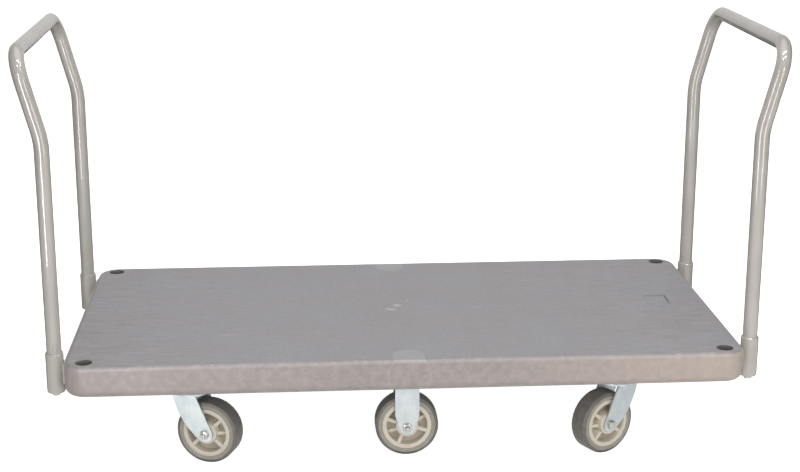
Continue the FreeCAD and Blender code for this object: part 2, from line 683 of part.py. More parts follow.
def make_handle(label, side):
    """A bent tube: a solid sweep less the sweep of its bore, along one spatial path."""
    path = doc.addObject("Part::Feature", label + "_path")
    path.Shape = handle_path(side)
    sweeps = []
    for name, radius in (("outside", "tube_diameter / 2"), ("bore", "tube_diameter / 2 - tube_wall")):
        section = doc.addObject("Part::Circle", "%s_%s_section" % (label, name))
        section.setExpression("Radius", bound(radius))
        section.Placement = Placement(path.Shape.Edges[0].Vertexes[0].Point, Rotation())
        sweep = doc.addObject("Part::Sweep", "%s_%s" % (label, name))
        sweep.Sections = [section]
        sweep.Spine = (path, ["Edge%d" % (n + 1) for n in range(len(path.Shape.Edges))])
        sweep.Solid = True
        sweeps.append(sweep)
    tube = doc.addObject("Part::Cut", label)
    tube.Label = label
    tube.Base = sweeps[0]
    tube.Tool = sweeps[1]
    doc.recompute()
    return tube


def make_handle_plugs(label, side):
    """The threaded plugs that close the feet of a handle's two legs."""
    body = new_body(label)
    sketch = new_sketch(body, "XY_Plane", LEG_FOOT_Z)
    for sign_y in (-1, 1):
        x = "%d * %s" % (side, SOCKET_X)
        y = "%d * %s" % (sign_y, SOCKET_Y)
        draw_circle(sketch, x, y, "tube_diameter / 2 - tube_wall")
        draw_circle(sketch, x, y, "handle_bolt_diameter / 2 + handle_bolt_clearance")
    pad(body, sketch, "plug_length")
    return body


# ---------------------------------------------------------------------------
# Casters, each in its own frame: origin on the floor under the swivel axis,
# +x towards the trailing axle, and the wheel's own z along the axle
# ---------------------------------------------------------------------------

def leg_tangents():
    """Where the fork leg's straight front edge and curved back edge meet the round tip."""
    tip = Vector(size("swivel_lead"), size(WHEEL_RADIUS), 0)
    tip_radius = size("leg_tip_radius")
    top = size(CROWN_UNDERSIDE)
    front = Vector(size("leg_front_top"), top, 0)
    back = Vector(-size("leg_back_top"), top, 0)
    # front edge: tangent from a point to the tip's circle, on the trailing side
    run = tip - front
    tangent_angle = math.asin(tip_radius / run.Length)
    direction = math.atan2(run.y, run.x) + tangent_angle
    reach = math.sqrt(run.Length ** 2 - tip_radius ** 2)
    front_touch = front + Vector(math.cos(direction), math.sin(direction), 0) * reach
    # back edge: an arc through the back corner that touches the tip's circle from outside
    bend = size("leg_back_curve")
    gap = tip - back
    far = bend - tip_radius
    along = (bend ** 2 - far ** 2 + gap.Length ** 2) / (2 * gap.Length)
    aside = math.sqrt(bend ** 2 - along ** 2)
    unit = Vector(gap).normalize()
    bend_centre = back + unit * along + Vector(-unit.y, unit.x, 0) * aside
    outward = (tip - bend_centre).normalize()
    back_touch = tip + outward * tip_radius
    return tip, front, back, front_touch, back_touch, bend_centre


def draw_fork_leg(sketch):
    """The side view of a fork leg: straight front, curved back and a round tip."""
    tip, front, back, front_touch, back_touch, bend_centre = leg_tangents()
    middle = (front_touch - tip).normalize() + (back_touch - tip).normalize()
    tip_middle = tip + middle.normalize() * size("leg_tip_radius")
    half = (back - bend_centre).normalize() + (back_touch - bend_centre).normalize()
    bend_middle = bend_centre + half.normalize() * size("leg_back_curve")
    top_line = sketch.addGeometry(Part.LineSegment(back, front), False)
    front_line = sketch.addGeometry(Part.LineSegment(front, front_touch), False)
    tip_arc = sketch.addGeometry(Part.Arc(front_touch, tip_middle, back_touch), False)
    back_arc = sketch.addGeometry(Part.Arc(back_touch, bend_middle, back), False)
    pin_point(sketch, top_line, 1, "-1 * leg_back_top", CROWN_UNDERSIDE)
    pin_point(sketch, top_line, 2, "leg_front_top", CROWN_UNDERSIDE)
    sketch.addConstraint(Sketcher.Constraint("Coincident", top_line, 2, front_line, 1))
    pin_point(sketch, tip_arc, 3, "swivel_lead", WHEEL_RADIUS)
    join_arc(sketch, front_line, 2, tip_arc, front_touch)
    far_end = other_end(sketch, tip_arc, front_touch)
    near_end = end_at(sketch, back_arc, back_touch)
    sketch.addConstraint(Sketcher.Constraint("Tangent", tip_arc, far_end, back_arc, near_end))
    crown_end = 3 - near_end
    sketch.addConstraint(Sketcher.Constraint("Coincident", back_arc, crown_end, top_line, 1))
    pin_radius(sketch, tip_arc, "leg_tip_radius")
    pin_radius(sketch, back_arc, "leg_back_curve")


def end_at(sketch, geometry, point):
    """Which end, 1 or 2, of a sketch element lies at a point."""
    first = sketch.getPoint(geometry, 1)
    second = sketch.getPoint(geometry, 2)
    return 1 if first.distanceToPoint(point) < second.distanceToPoint(point) else 2


def other_end(sketch, geometry, point):
    return 3 - end_at(sketch, geometry, point)


def join_arc(sketch, line, line_end, arc, point):
    arc_end = end_at(sketch, arc, point)
    sketch.addConstraint(Sketcher.Constraint("Tangent", line, line_end, arc, arc_end))


def bend_edges(width, height):
    """Picks the two long edges where a leg's outer face meets the crown's top."""
    def wanted(edge):
        box = edge.BoundBox
        flat = box.YLength < 1e-4 and box.ZLength < 1e-4 and box.XLength > 1
        return flat and abs(abs(box.YMin) - width) < 1e-3 and abs(box.ZMin - height) < 1e-3
    return wanted


def make_fork(label):
    """A pressed fork: two legs and a crown bent from one sheet, with the lower ball race."""
    body = new_body(label)
    side_sketch = new_sketch(body, "XZ_Plane")
    draw_fork_leg(side_sketch)
    pad(body, side_sketch, "2 * " + LEG_OUTER_FACE, symmetric=True)
    crown_sketch = new_sketch(body, "XY_Plane", CROWN_UNDERSIDE)
    draw_rectangle(crown_sketch, "-1 * leg_back_top", "-1 * " + LEG_OUTER_FACE,
                   "leg_front_top", LEG_OUTER_FACE)
    crown = pad(body, crown_sketch, "leg_thickness")
    width = size(LEG_OUTER_FACE)
    dress(body, "Fillet", crown, "leg_bend_radius", bend_edges(width, size(CROWN_TOP)))
    disc_sketch = new_sketch(body, "XY_Plane", CROWN_UNDERSIDE)
    draw_circle(disc_sketch, "0", "0", "crown_radius")
    pad(body, disc_sketch, "leg_thickness")
    race_sketch = new_sketch(body, "XY_Plane", CROWN_TOP)
    draw_circle(race_sketch, "0", "0", "race_ring_outer")
    draw_circle(race_sketch, "0", "0", "race_ring_inner")
    pad(body, race_sketch, LOWER_RACE_TOP + " - " + CROWN_TOP)

    # the space between the legs, left open below the crown
    gap_sketch = new_sketch(body, "YZ_Plane")
    draw_rectangle(gap_sketch, "-1 * %s / 2" % LEG_GAP, "0", LEG_GAP + " / 2", CROWN_UNDERSIDE)
    pocket(body, gap_sketch, "4 * wheel_diameter", symmetric=True)

    cut_ball_groove(body)
    kingpin_sketch = new_sketch(body, "XY_Plane", CROWN_TOP)
    draw_circle(kingpin_sketch, "0", "0", "kingpin_diameter / 2 + kingpin_running_gap")
    pocket(body, kingpin_sketch, "2 * leg_thickness")
    cut_axle_hole(body, "swivel_lead")
    return body


def cut_ball_groove(body):
    """The round groove that the swivel's balls run in."""
    sketch = new_sketch(body, "XZ_Plane")
    draw_circle(sketch, "race_radius", RACE_SPLIT, "ball_radius + ball_gap")
    groove(body, sketch)


def cut_axle_hole(body, x):
    sketch = new_sketch(body, "XZ_Plane")
    draw_circle(sketch, x, WHEEL_RADIUS, "axle_diameter / 2 + axle_fit_gap")
    pocket(body, sketch, "4 * " + LEG_GAP, symmetric=True)


def draw_plate(sketch):
    draw_rectangle(sketch, "-1 * caster_plate_length / 2", "-1 * caster_plate_width / 2",
                   "caster_plate_length / 2", "caster_plate_width / 2")


def cut_plate_holes(body):
    sketch = new_sketch(body, "XY_Plane", CASTER_HEIGHT)
    for sign_x, sign_y in CORNER_SIGNS:
        x = "%d * caster_bolt_spacing_long / 2" % sign_x
        y = "%d * caster_bolt_spacing_short / 2" % sign_y
        draw_circle(sketch, x, y, "caster_bolt_hole / 2")
    pocket(body, sketch, "2 * caster_plate_thickness")


def make_swivel_plate(label):
    """The bolted top plate with the upper ball race, a dust lip and the kingpin's seat."""
    body = new_body(label)
    plate_sketch = new_sketch(body, "XY_Plane", PLATE_UNDERSIDE)
    draw_plate(plate_sketch)
    plate = pad(body, plate_sketch, "caster_plate_thickness")
    dress(body, "Fillet", plate, "caster_plate_corner", is_vertical)
    race_sketch = new_sketch(body, "XY_Plane", UPPER_RACE_FOOT)
    draw_circle(race_sketch, "0", "0", "race_ring_outer")
    pad(body, race_sketch, PLATE_UNDERSIDE + " - " + UPPER_RACE_FOOT)
    lip_level = UPPER_RACE_FOOT + " - dust_lip_overlap"
    lip_sketch = new_sketch(body, "XY_Plane", lip_level)
    lip_inner = "( race_ring_outer + dust_lip_clearance )"
    draw_circle(lip_sketch, "0", "0", lip_inner + " + dust_lip_thickness")
    draw_circle(lip_sketch, "0", "0", lip_inner)
    pad(body, lip_sketch, PLATE_UNDERSIDE + " - ( " + lip_level + " )")
    cut_ball_groove(body)
    seat_sketch = new_sketch(body, "XY_Plane", CASTER_HEIGHT)
    draw_circle(seat_sketch, "0", "0", "kingpin_head_diameter / 2 + kingpin_head_gap")
    pocket(body, seat_sketch, "kingpin_head_height + kingpin_head_gap")
    bore_sketch = new_sketch(body, "XY_Plane", CASTER_HEIGHT)
    draw_circle(bore_sketch, "0", "0", "kingpin_diameter / 2")
    pocket(body, bore_sketch, CASTER_HEIGHT + " - " + UPPER_RACE_FOOT + " + race_gap")
    cut_plate_holes(body)
    return body


def make_kingpin(label):
    """Kingpin, washer and nut: the head sits in the plate and the nut below the crown."""
    body = new_body(label)
    head_top = "( %s - kingpin_head_gap )" % CASTER_HEIGHT
    washer_top = "( %s - running_gap )" % CROWN_UNDERSIDE
    nut_top = "( %s - kingpin_washer_thickness )" % washer_top
    head_sketch = new_sketch(body, "XY_Plane", head_top)
    draw_circle(head_sketch, "0", "0", "kingpin_head_diameter / 2")
    pad(body, head_sketch, "kingpin_head_height", reverse=True)
    shank_sketch = new_sketch(body, "XY_Plane", head_top)
    draw_circle(shank_sketch, "0", "0", "kingpin_diameter / 2")
    pad(body, shank_sketch, head_top + " - " + nut_top + " + kingpin_nut_height", reverse=True)
    washer_sketch = new_sketch(body, "XY_Plane", washer_top)
    draw_circle(washer_sketch, "0", "0", "kingpin_washer_diameter / 2")
    draw_circle(washer_sketch, "0", "0", "kingpin_diameter / 2 + thread_gap")
    pad(body, washer_sketch, "kingpin_washer_thickness", reverse=True)
    nut_sketch = new_sketch(body, "XY_Plane", nut_top)
    draw_hexagon(nut_sketch, "0", "0", "kingpin_nut_flats")
    draw_circle(nut_sketch, "0", "0", "kingpin_diameter / 2 + thread_gap")
    pad(body, nut_sketch, "kingpin_nut_height", reverse=True)
    return body


def make_ball_ring(label):
    """One ball turned about its own axis, repeated round the race."""
    ball = doc.addObject("Part::Sphere", label + "_ball")
    ball.setExpression("Radius", bound("ball_radius"))
    race_radius = size("race_radius")
    height = size(RACE_SPLIT)
    count = int(size("ball_count"))
    ring = doc.addObject("Part::Feature", label)
    doc.recompute()
    balls = []
    for number in range(count):
        angle = 2 * math.pi * number / count
        copy = ball.Shape.copy()
        copy.translate(Vector(race_radius * math.cos(angle), race_radius * math.sin(angle), height))
        balls.append(copy)
    ring.Shape = Part.makeCompound(balls)
    return ring


def make_rigid_frame(label):
    """A fixed frame: the top plate with two tapering legs bent down from it."""
    body = new_body(label)
    plate_sketch = new_sketch(body, "XY_Plane", PLATE_UNDERSIDE)
    draw_plate(plate_sketch)
    plate = pad(body, plate_sketch, "caster_plate_thickness")
    dress(body, "Fillet", plate, "caster_plate_corner", is_vertical)
    side_sketch = new_sketch(body, "XZ_Plane")
    draw_rigid_leg(side_sketch)
    pad(body, side_sketch, "2 * " + LEG_OUTER_FACE, symmetric=True)
    gap_sketch = new_sketch(body, "YZ_Plane")
    draw_rectangle(gap_sketch, "-1 * %s / 2" % LEG_GAP, "0", LEG_GAP + " / 2", PLATE_UNDERSIDE)
    pocket(body, gap_sketch, "4 * wheel_diameter", symmetric=True)
    cut_plate_holes(body)
    cut_axle_hole(body, "0")
    return body


def draw_rigid_leg(sketch):
    """The side view of a rigid leg: parallel edges, a taper and a round tip."""
    radius = size("leg_tip_radius")
    half = size("rigid_leg_width / 2")
    axle = size(WHEEL_RADIUS)
    taper_z = axle + size("rigid_taper_height")
    top = size(PLATE_UNDERSIDE)
    tip = Vector(0, axle, 0)
    shoulder = Vector(half, taper_z, 0)
    run = tip - shoulder
    direction = math.atan2(run.y, run.x) + math.asin(radius / run.Length)
    reach = math.sqrt(run.Length ** 2 - radius ** 2)
    touch = shoulder + Vector(math.cos(direction), math.sin(direction), 0) * reach
    mirrored = Vector(-touch.x, touch.y, 0)
    points = [mirrored, Vector(-half, taper_z, 0), Vector(-half, top, 0),
              Vector(half, top, 0), shoulder, touch]
    lines = []
    for start, finish in zip(points, points[1:]):
        lines.append(sketch.addGeometry(Part.LineSegment(start, finish), False))
    arc = sketch.addGeometry(Part.Arc(touch, Vector(0, axle - radius, 0), mirrored), False)
    for one, other in zip(lines, lines[1:]):
        sketch.addConstraint(Sketcher.Constraint("Coincident", one, 2, other, 1))
    shoulder_z = WHEEL_RADIUS + " + rigid_taper_height"
    pin_point(sketch, lines[1], 1, "-1 * rigid_leg_width / 2", shoulder_z)
    pin_point(sketch, lines[2], 1, "-1 * rigid_leg_width / 2", PLATE_UNDERSIDE)
    pin_point(sketch, lines[3], 1, "rigid_leg_width / 2", PLATE_UNDERSIDE)
    pin_point(sketch, lines[4], 1, "rigid_leg_width / 2", shoulder_z)
    pin_point(sketch, arc, 3, "0", WHEEL_RADIUS)
    join_arc(sketch, lines[4], 2, arc, touch)
    join_arc(sketch, lines[0], 1, arc, mirrored)
    pin_radius(sketch, arc, "leg_tip_radius")


def make_axle_set(label, x):
    """Axle bolt through both legs, its head on the +y side and its nut on the other."""
    body = new_body(label)
    far_face = LEG_OUTER_FACE
    head_sketch = new_sketch(body, "XZ_Plane", "-1 * " + far_face)
    draw_hexagon(head_sketch, x, WHEEL_RADIUS, "axle_head_flats")
    pad(body, head_sketch, "axle_head_height", reverse=True)
    shank_sketch = new_sketch(body, "XZ_Plane", "-1 * " + far_face)
    draw_circle(shank_sketch, x, WHEEL_RADIUS, "axle_diameter / 2")
    pad(body, shank_sketch, "2 * " + far_face + " + axle_nut_height + axle_tail")
    nut_sketch = new_sketch(body, "XZ_Plane", far_face)
    draw_hexagon(nut_sketch, x, WHEEL_RADIUS, "axle_head_flats")
    draw_circle(nut_sketch, x, WHEEL_RADIUS, "axle_diameter / 2 + thread_gap")
    pad(body, nut_sketch, "axle_nut_height")
    return body


def make_ring(label, outer, inner, length):
    """A plain tube about the wheel's axle, centred on the wheel's mid-plane."""
    body = new_body(label)
    sketch = new_sketch(body, "XY_Plane")
    draw_circle(sketch, "0", "0", outer)
    draw_circle(sketch, "0", "0", inner)
    pad(body, sketch, length, symmetric=True)
    return body


def make_axle_sleeve(label):
    """The steel sleeve clamped between the legs, which the wheel turns on."""
    return make_ring(label, "sleeve_diameter / 2", "axle_diameter / 2 + axle_fit_gap", LEG_GAP)


def make_wheel_bushing(label):
    inner = "sleeve_diameter / 2 + bushing_running_gap"
    return make_ring(label, "bushing_diameter / 2", inner, HUB_LENGTH)


def mirrored_profile(half):
    """Completes an outline drawn above the mid-plane with its image below."""
    lower = [(radius, "-1 * ( %s )" % height) for radius, height in reversed(half)]
    return half + lower


def make_wheel_core(label):
    """Moulded core: rim ring, closed web, hub boss, four main ribs and two sloping low ones."""
    body = new_body(label)
    ring_inner = "( core_ring_inner_diameter / 2 )"
    boss = "( core_boss_diameter / 2 )"
    face = "( wheel_width / 2 - core_face_setback )"
    web = "( core_web_thickness / 2 )"
    profile = new_sketch(body, "XZ_Plane")
    draw_outline(profile, mirrored_profile([
        ("bushing_diameter / 2", HUB_LENGTH + " / 2"),
        (boss, HUB_LENGTH + " / 2"),
        (boss + " + core_boss_flare", web),
        (ring_inner + " - core_rim_draft", web),
        (ring_inner, face),
        ("core_diameter / 2", face),
    ]))
    revolve(body, profile)
    main_half = "( %s - main_rib_setback )" % face
    for turn in (size("main_rib_spread") / 2, -size("main_rib_spread") / 2):
        main_sketch = new_sketch(body, "XY_Plane")
        main_sketch.AttachmentOffset = Placement(Vector(0, 0, 0), Rotation(Vector(0, 0, 1), turn))
        draw_rectangle(main_sketch, boss + " - rib_overlap", "-1 * main_rib_width / 2",
                       ring_inner + " + rib_overlap", "main_rib_width / 2")
        main_rib = pad(body, main_sketch, "2 * " + main_half, symmetric=True)
        polar_pattern(body, main_rib, 2)
    low_sketch = new_sketch(body, "XZ_Plane")
    draw_outline(low_sketch, mirrored_profile([
        (boss + " - rib_overlap", face + " - low_rib_setback"),
        (ring_inner + " + rib_overlap", face + " - low_rib_ring_setback"),
    ]))
    low_rib = pad(body, low_sketch, "low_rib_width", symmetric=True)
    polar_pattern(body, low_rib, 2)
    return body


def make_tread(label):
    """Rubber tyre with flat side faces, a shallow step and rounded shoulders."""
    body = new_body(label)
    tread = "( wheel_diameter / 2 )"
    wall = "( wheel_width / 2 )"
    core = "( core_diameter / 2 )"
    flat = "( tread_flat / 2 )"
    drop = "( %s - %s )" % (wall, flat)
    profile = new_sketch(body, "XZ_Plane")
    draw_outline(profile, mirrored_profile([
        (core, wall + " - core_face_setback"),
        (core + " + 0.06 * " + core, wall),
        (core + " + 0.60 * ( %s - %s )" % (tread, core), wall),
        (core + " + 0.64 * ( %s - %s )" % (tread, core), wall + " - 0.12 * " + drop),
        (tread + " - 0.20 * " + drop, wall + " - 0.32 * " + drop),
        (tread + " - 0.05 * " + drop, wall + " - 0.62 * " + drop),
        (tread, flat),
    ]))
    revolve(body, profile)
    return body


# ---------------------------------------------------------------------------
# Assembly
# ---------------------------------------------------------------------------

subparts = []


def keep(item, placement=None):
    """Adds a finished sub-part to the hand-in, at its place in the cart."""
    if placement is not None:
        item.Placement = placement
    subparts.append(item)
    return item


ABOUT_Z = Vector(0, 0, 1)
AXLE_TURN = Rotation(Vector(1, 0, 0), 90)

keep(make_deck())
keep(make_caster_bolts())
keep(make_caster_inserts())
keep(make_end_bolts())
keep(make_end_inserts())
keep(make_handle_bolts())

for end_name, end_side in (("left", -1), ("right", 1)):
    keep(make_end_plate("end_plate_" + end_name, end_side))
    keep(make_handle("handle_" + end_name, end_side))
    keep(make_handle_plugs("handle_plugs_" + end_name, end_side))
    for row_name, row_side in (("front", -1), ("rear", 1)):
        foot = Vector(end_side * size(SOCKET_X), row_side * size(SOCKET_Y), 0)
        keep(make_socket("socket_%s_%s" % (row_name, end_name)), Placement(foot, Rotation()))

kingpin_bodies = []
ball_rings = []


def make_wheel(corner, caster_place, axle_x, wheel_turn):
    """Core, bushing and tread about the axle of one caster."""
    axle = Placement(Vector(axle_x, 0, size(WHEEL_RADIUS)), AXLE_TURN)
    turned = Placement(Vector(0, 0, 0), Rotation(ABOUT_Z, wheel_turn))
    place = caster_place.multiply(axle).multiply(turned)
    keep(make_wheel_core("wheel_core_" + corner), place)
    keep(make_wheel_bushing("wheel_bushing_" + corner), place)
    keep(make_tread("tread_" + corner), place)
    keep(make_axle_sleeve("axle_sleeve_" + corner), caster_place.multiply(axle))


SWIVEL_CASTERS = [
    ("front_left", -1, -1, 1.0),
    ("front_right", 1, -1, -4.5),
    ("rear_left", -1, 1, 15.0),
    ("rear_right", 1, 1, 74.0),
]
for corner, side_x, side_y, wheel_turn in SWIVEL_CASTERS:
    centre = Vector(side_x * size(SWIVEL_X), side_y * size(CASTER_Y), 0)
    fixed_place = Placement(centre, Rotation())
    yawed_place = Placement(centre, Rotation(ABOUT_Z, size(corner + "_yaw")))
    keep(make_swivel_plate("swivel_plate_" + corner), fixed_place)
    kingpin = make_kingpin("kingpin_" + corner)
    kingpin.Placement = fixed_place
    kingpin_bodies.append(kingpin)
    ring = make_ball_ring("ball_ring_" + corner)
    ring.Placement = fixed_place
    ball_rings.append(ring)
    keep(make_fork("fork_" + corner), yawed_place)
    keep(make_axle_set("axle_" + corner, "swivel_lead"), yawed_place)
    make_wheel(corner, yawed_place, size("swivel_lead"), wheel_turn)

for row_name, row_side, wheel_turn in (("rigid_front", -1, 24.0), ("rigid_rear", 1, 62.0)):
    place = Placement(Vector(0, row_side * size(CASTER_Y), 0), Rotation())
    keep(make_rigid_frame(row_name.replace("rigid", "rigid_frame")), place)
    keep(make_axle_set("axle_" + row_name, "0"), place)
    make_wheel(row_name, place, 0, wheel_turn)

for label, members in (("kingpins", kingpin_bodies), ("swivel_race_balls", ball_rings)):
    group = doc.addObject("Part::Compound", label)
    group.Label = label
    group.Links = members
    keep(group)

doc.recompute()

# ---------------------------------------------------------------------------
# Checks and export
# ---------------------------------------------------------------------------

for item in doc.Objects:
    if "Invalid" in item.State or "Error" in item.State:
        raise RuntimeError("%s did not compute: %s" % (item.Name, item.State))
for item in subparts:
    if item.Shape.isNull() or not item.Shape.isValid() or not item.Shape.Solids:
        raise RuntimeError("%s has no valid solid" % item.Label)

os.makedirs("parts", exist_ok=True)
for item in subparts:
    item.Shape.exportStep(os.path.join("parts", item.Label + ".step"))
print("wrote %d sub-parts" % len(subparts))
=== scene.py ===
# %% [markdown]
# # A platform cart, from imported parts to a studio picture
#
# The cart is a grey moulded deck on six casters, with a bent tube handle standing in two
# sockets at each end. Its working parts come packed as a fixed frame, in metres, with the
# floor at zero height. This lesson gives each of them its finish and makes the pieces whose
# small shapes decide how real it looks: tubes, tyres, wheel cores, bolts and welds. Every
# object keeps its place in its mesh, so each one stays at the origin.

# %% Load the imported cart
import json
import math

import bmesh
import bpy
from mathutils import Matrix, Vector


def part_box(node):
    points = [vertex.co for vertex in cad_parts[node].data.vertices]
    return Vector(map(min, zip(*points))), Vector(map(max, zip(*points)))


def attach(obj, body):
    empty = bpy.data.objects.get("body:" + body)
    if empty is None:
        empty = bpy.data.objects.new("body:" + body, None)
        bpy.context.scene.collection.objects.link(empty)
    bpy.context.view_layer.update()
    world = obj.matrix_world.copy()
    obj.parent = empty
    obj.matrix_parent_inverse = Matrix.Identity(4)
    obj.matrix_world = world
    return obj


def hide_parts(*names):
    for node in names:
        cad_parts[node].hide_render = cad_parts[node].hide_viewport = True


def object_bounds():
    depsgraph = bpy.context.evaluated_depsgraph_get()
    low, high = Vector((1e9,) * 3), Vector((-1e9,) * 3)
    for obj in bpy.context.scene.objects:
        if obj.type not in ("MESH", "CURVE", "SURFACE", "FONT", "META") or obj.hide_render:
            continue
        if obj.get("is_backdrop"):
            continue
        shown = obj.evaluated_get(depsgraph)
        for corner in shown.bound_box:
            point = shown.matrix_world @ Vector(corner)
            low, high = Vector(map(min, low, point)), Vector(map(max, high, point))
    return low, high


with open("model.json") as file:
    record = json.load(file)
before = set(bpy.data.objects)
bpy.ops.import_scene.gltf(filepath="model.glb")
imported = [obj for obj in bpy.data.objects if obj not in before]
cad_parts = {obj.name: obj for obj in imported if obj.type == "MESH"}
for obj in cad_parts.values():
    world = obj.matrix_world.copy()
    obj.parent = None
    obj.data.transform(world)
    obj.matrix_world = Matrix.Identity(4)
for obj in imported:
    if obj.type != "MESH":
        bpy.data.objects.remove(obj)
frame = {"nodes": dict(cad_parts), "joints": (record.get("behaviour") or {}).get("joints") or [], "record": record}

cad_low, cad_high = (corner.copy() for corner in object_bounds())
joints = {joint["name"]: joint for joint in frame["joints"]}
deck_low, deck_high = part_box("deck")

# %% [markdown]
# ## Writing nodes as sums
#
# A finish is a small program made of nodes. Placing each Math node by hand hides the idea,
# so a node's output is wrapped in a class that can add, take away and multiply in both
# orders, and `1 - mask` reads as it would on paper. Every other node comes from one
# method, which sets the node up first and fills its sockets after.

# %% A socket that can be used in sums
def sum_of(operation, swapped=False):
    """A method that places one Math node, with its two values swapped if asked."""
    def method(self, other=0.0):
        first, second = (other, self) if swapped else (self, other)
        return self.tree.maths(operation, first, second)
    return method


class Value:
    """One output of a node, for use in sums and in other nodes' sockets."""

    def __init__(self, tree, socket):
        self.tree = tree
        self.socket = socket

    __add__ = __radd__ = sum_of("ADD")
    __mul__ = __rmul__ = sum_of("MULTIPLY")
    __sub__ = sum_of("SUBTRACT")
    __rsub__ = sum_of("SUBTRACT", swapped=True)
    __pow__ = sum_of("POWER")
    size = sum_of("ABSOLUTE")
    smaller = sum_of("MINIMUM")
    larger = sum_of("MAXIMUM")


# %% One method for all the other nodes
class Nodes:
    """A node tree in the making, for a finish or for a piece."""

    prefix = "ShaderNode"

    def __init__(self, tree):
        self.tree = tree

    def place(self, kind, settings=None, sockets=None):
        """Adds a node: its settings first, then the values or links of its sockets."""
        full_names = ("Shader", "Geometry", "Function", "NodeGroup")
        made = self.tree.nodes.new(kind if kind.startswith(full_names) else self.prefix + kind)
        for name, setting in (settings or {}).items():
            setattr(made, name, setting)
        for key, given in (sockets or {}).items():
            if isinstance(given, Value):
                self.tree.links.new(given.socket, made.inputs[key])
            else:
                made.inputs[key].default_value = given
        return made

    def node(self, kind, settings=None, sockets=None, out=0):
        """Adds a node and returns one of its outputs, ready for sums."""
        return Value(self, self.place(kind, settings, sockets).outputs[out])

    def maths(self, operation, first, second=0.0):
        return self.node("ShaderNodeMath", {"operation": operation}, {0: first, 1: second})


# %% [markdown]
# ## Helpers that every finish shares
#
# Moulded plastic clouds, paint ripples, plating spangles. Each of these is noise at some
# scale, so the finishes share short helpers: noise, a soft step from 0 to 1, a mix of two
# colours and a relief. All patterns use object coordinates in metres, so a scale of 1000
# gives a grain of about a millimetre.

# %% Colour from screen values
def rgb(red, green, blue):
    """A colour given as 0 to 255 screen values, in the linear values that nodes use."""
    def linear(level):
        part = level / 255
        return part / 12.92 if part <= 0.04045 else ((part + 0.055) / 1.055) ** 2.4
    return (linear(red), linear(green), linear(blue), 1.0)


# %% A finish built on one Principled shader
class Finish(Nodes):
    """A material whose sockets are fed by sums of noise and position."""

    def __init__(self, name):
        self.material = bpy.data.materials.new(name)
        self.material.use_nodes = True
        super().__init__(self.material.node_tree)
        self.tree.nodes.clear()
        self.position = self.node("TexCoord", out="Object")
        apart = self.place("SeparateXYZ", sockets={0: self.position})
        self.x, self.y, self.z = (Value(self, output) for output in apart.outputs)

    def noise(self, scale, detail=3.0, roughness=0.55, stretch=(1, 1, 1), shift=0.0):
        """Soft noise around 0.5; stretch above 1 squeezes the pattern along that axis."""
        where = self.position
        if stretch != (1, 1, 1) or shift:
            where = self.node("Mapping", sockets={
                "Vector": where, "Location": (shift,) * 3, "Scale": stretch})
        return self.node("TexNoise", sockets={
            "Vector": where, "Scale": scale, "Detail": detail, "Roughness": roughness})

    def step(self, value, low, high):
        """Rises smoothly from 0 at low to 1 at high."""
        return self.node("MapRange", {"interpolation_type": "SMOOTHSTEP"}, {
            "Value": value, "From Min": low, "From Max": high})

    def fall(self, value, low, high):
        """Falls smoothly from 1 at low to 0 at high."""
        return 1 - self.step(value, low, high)

    def between(self, value, low, high):
        """Spreads a value from 0 to 1 onto the range from low to high."""
        return self.node("MapRange", sockets={"Value": value, "To Min": low, "To Max": high})

    def mix(self, first, second, share):
        """The first colour, turning into the second as share goes from 0 to 1."""
        return self.node("Mix", {"data_type": "RGBA"}, {0: share, 6: first, 7: second}, out=2)

    def patches(self, first, second, pattern, low=0.35, high=0.65):
        """Two screen colours in soft patches that follow a pattern."""
        return self.mix(rgb(*first), rgb(*second), self.step(pattern, low, high))

    def shade(self, colour, level):
        """A colour made darker or lighter by a level around 1."""
        start = colour if isinstance(colour, Value) else colour[:3]
        return self.node("VectorMath", {"operation": "SCALE"}, {0: start, "Scale": level})

    def relief(self, *layers):
        """Bumps on bumps: the height, depth in metres and strength of each layer."""
        sockets = {}
        for height, depth, strength in layers:
            sockets.update({"Height": height, "Distance": depth, "Strength": strength})
            sockets["Normal"] = self.node("Bump", sockets=sockets)
        return sockets["Normal"]

    def finish(self, **sockets):
        """Ends the material: names use underscores for the spaces in socket names."""
        named = {name.replace("_", " "): given for name, given in sockets.items()}
        shader = self.node("BsdfPrincipled", sockets=named)
        self.place("OutputMaterial", sockets={"Surface": shader})
        print("finish", self.material.name, "with", len(self.tree.nodes), "nodes")
        return self.material


# %% [markdown]
# ## The deck's plastic
#
# The deck is moulded in one piece from thick grey plastic. Loads were dragged over its top:
# fine streaks run along it and show most near the ends. The sides keep the mould's cloudy
# skin, painted lighter and warmer than the top as painted light. The rounded edges carry
# painted shade, with lighter patches that are partly wear and partly painted highlight. A picture
# could carry this, but sums of noise stay sharp at any distance and follow the real sizes.

# %% Masks on the deck
plastic = Finish("moulded_deck")
half_length, half_width, top_height = deck_high

facing = plastic.node("NewGeometry", out="Normal")
upward = plastic.node("SeparateXYZ", sockets={0: facing}, out=2)
on_top = plastic.step(upward, 0.35, 0.9)
from_middle = plastic.x.size()
near_end = plastic.step(from_middle, 0.15, half_length)

pad_radius, pad_reach, pad_fade, row_fade = 0.0375, 0.078, 0.0015, 0.004
pad_start = half_width - pad_reach
pad_middle = pad_start + pad_radius
beyond = (plastic.y.size() - pad_middle).smaller(0.0)
pad_distance = (plastic.x * plastic.x + beyond * beyond) ** 0.5
in_pad_row = plastic.step(plastic.y.size(), pad_start - row_fade, pad_start + row_fade)
on_pad = plastic.fall(pad_distance, pad_radius - pad_fade, pad_radius + pad_fade) * in_pad_row
print("pads reach in to", round(pad_start, 4))

